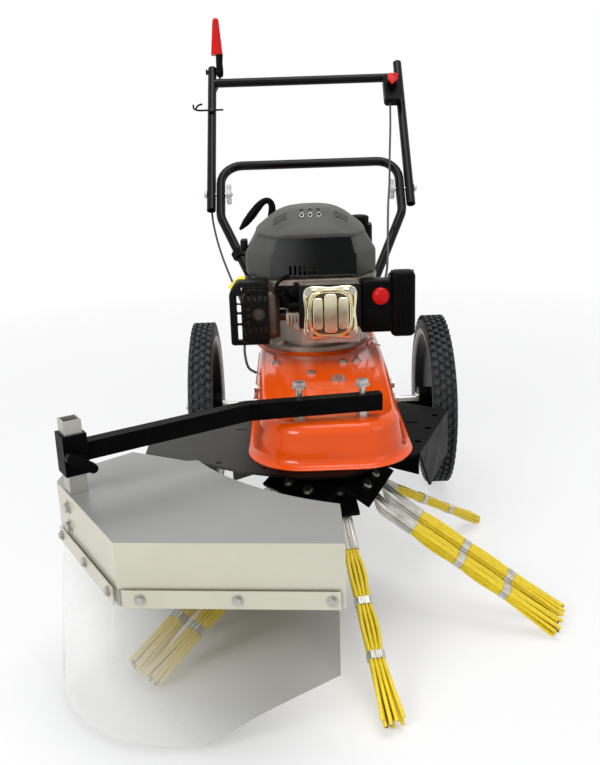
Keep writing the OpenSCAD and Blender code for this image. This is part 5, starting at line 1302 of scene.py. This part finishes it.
def throttle_lever():
    """A disc in the box's slot and a shield-shaped thumb piece that clears the box as it turns."""
    pin = Vector((218, 567.5, 836.5))
    disc = [[on_tube(pin, x, r * math.cos(a), r * math.sin(a)) for a in turns(40)]
            for r, x in ((13, -4), (13.9, -3), (13.9, 3), (13, 4))]
    # Each level: its height off the pin, half its width, its upper and lower end, its corners.
    levels = ((9.6, 3.6, 2, -2, 0.6), (12.2, 4, 3, -3, 1), (14.8, 8.6, 4, -7, 2), (18.4, 12.4, 5, -14, 3),
              (22.4, 13.4, 6, -21, 3), (26.4, 13.8, 6, -27.6, 3), (28.8, 13.4, 5.4, -30, 3),
              (29.8, 11.8, 4, -28, 2.6))
    thumb = []
    for off, wide, top, low, soft in levels:
        shield = [(-wide, top), (-wide * 0.96, low * 0.5), (-wide * 0.3, low), (wide * 0.96, low * 0.46),
                  (wide, top)]
        thumb.append([on_tube(pin, x, up, off) for x, up in soft_corners(shield, soft, 4)])
    obj = link_mesh("throttle_thumb", *joined(skin(disc), skin(thumb)))
    fit(obj, red_plastic, "throttle_lever", "red_plastic", "throttle_lever")


def rope_hook():
    """A bent wire guide for the starter rope, with a short second prong, strapped to the left tube."""
    up_from_fold = 272
    base = Vector((-241, fold_y + up_from_fold * tube_back, fold_z + up_from_fold * tube_rise))
    long_wire = [(-46, -8, 15), (-45, -18, 15), (-38, -24, 15), (-28, -26, 15), (-8, -26, 15), (12, -26, 15),
                 (30, -26, 15)]
    prong = [(-40, -23, 16), (-36, -18, 20), (-30, -15, 23), (-22, -14, 24)]
    forms = [rod([on_tube(base, *spot) for spot in route], 6, 2.4, 12) for route in (long_wire, prong)]
    strap = [[on_tube(base, x, -26 + up, 14 + off) for x, off in oval(7, 3.6, 4, 20)] for up in (-5, 5)]
    forms.append(skin(strap))
    obj = link_mesh("rope_hook", *joined(*forms))
    fit(obj, gloss_black, "upper_handle", "black_paint", "rope_guide", sharp=60)


def lever_neck():
    """The moulded neck round the clutch lever's pivot, below its grip."""
    pivot = Vector((-220.6, 641.7, 879.1))
    rise, out = Vector((0, 0.1736, 0.9848)), Vector((0, 0.9848, -0.1736))
    neck = []
    for half_x, half_y, z in ((5, 7, -14), (8, 11, -9), (8.6, 12.4, 0), (8.4, 11, 9), (7.4, 9.4, 20),
                              (8.4, 9, 36), (9.4, 9.4, 42.6)):
        ring = oval(half_x, half_y, 3, 24)
        neck.append([tuple(pivot + rise * z + Vector((x, 0, 0)) + out * y) for x, y in ring])
    obj = link_mesh("clutch_lever_neck", *skin(neck))
    fit(obj, moulded_black, "clutch_lever", "black_plastic", sharp=50)


throttle_lever()
rope_hook()
lever_neck()

# Control cables: black-sheathed wires from the throttle and the clutch lever down to the engine
# and the idler.
sheath = cable_finish("cable_sheath", (0.012, 0.012, 0.012), (0.02, 0.02, 0.02), 2400, 0.0001, (0.35, 0.5))


def control_cable(name, route, node, start, end):
    """A sheathed cable along its route."""
    cord = strands(name, [[tuple(p) for p in smooth_path(route, 5)]], 2.5, 12, sheath)
    flex(cord, "upper_handle", start, end, node)


throttle_route = [(210, 533, 788), (208, 512, 762), (205, 485, 728), (201, 458, 692), (197, 430, 656),
                  (187, 345, 606), (174, 250, 573), (163, 160, 540), (154, 80, 508), (147, 20, 483),
                  (139, -34, 460), (128, -70, 442), (114.2, -92, 430)]
clutch_route = [(-221.8, 636, 867), (-226, 641, 848), (-236, 622, 824), (-241, 600.4, 805.3),
                (-241, 540, 734), (-241, 480, 663.4), (-241, 419.3, 591.8), (-241, 380, 545),
                (-232, 340, 500), (-215, 290, 452), (-190, 220, 404), (-165, 140, 366), (-152, 40, 346),
                (-151, -60, 338), (-150, -120, 326), (-142, -166, 308), (-126.6, -176, 299)]
control_cable("throttle_wire", throttle_route, "throttle_cable", (187, 345, 606), (201, 458, 692))
control_cable("clutch_wire", clutch_route, "clutch_cable", (-232, 340, 500), (-241, 419.3, 591.8))
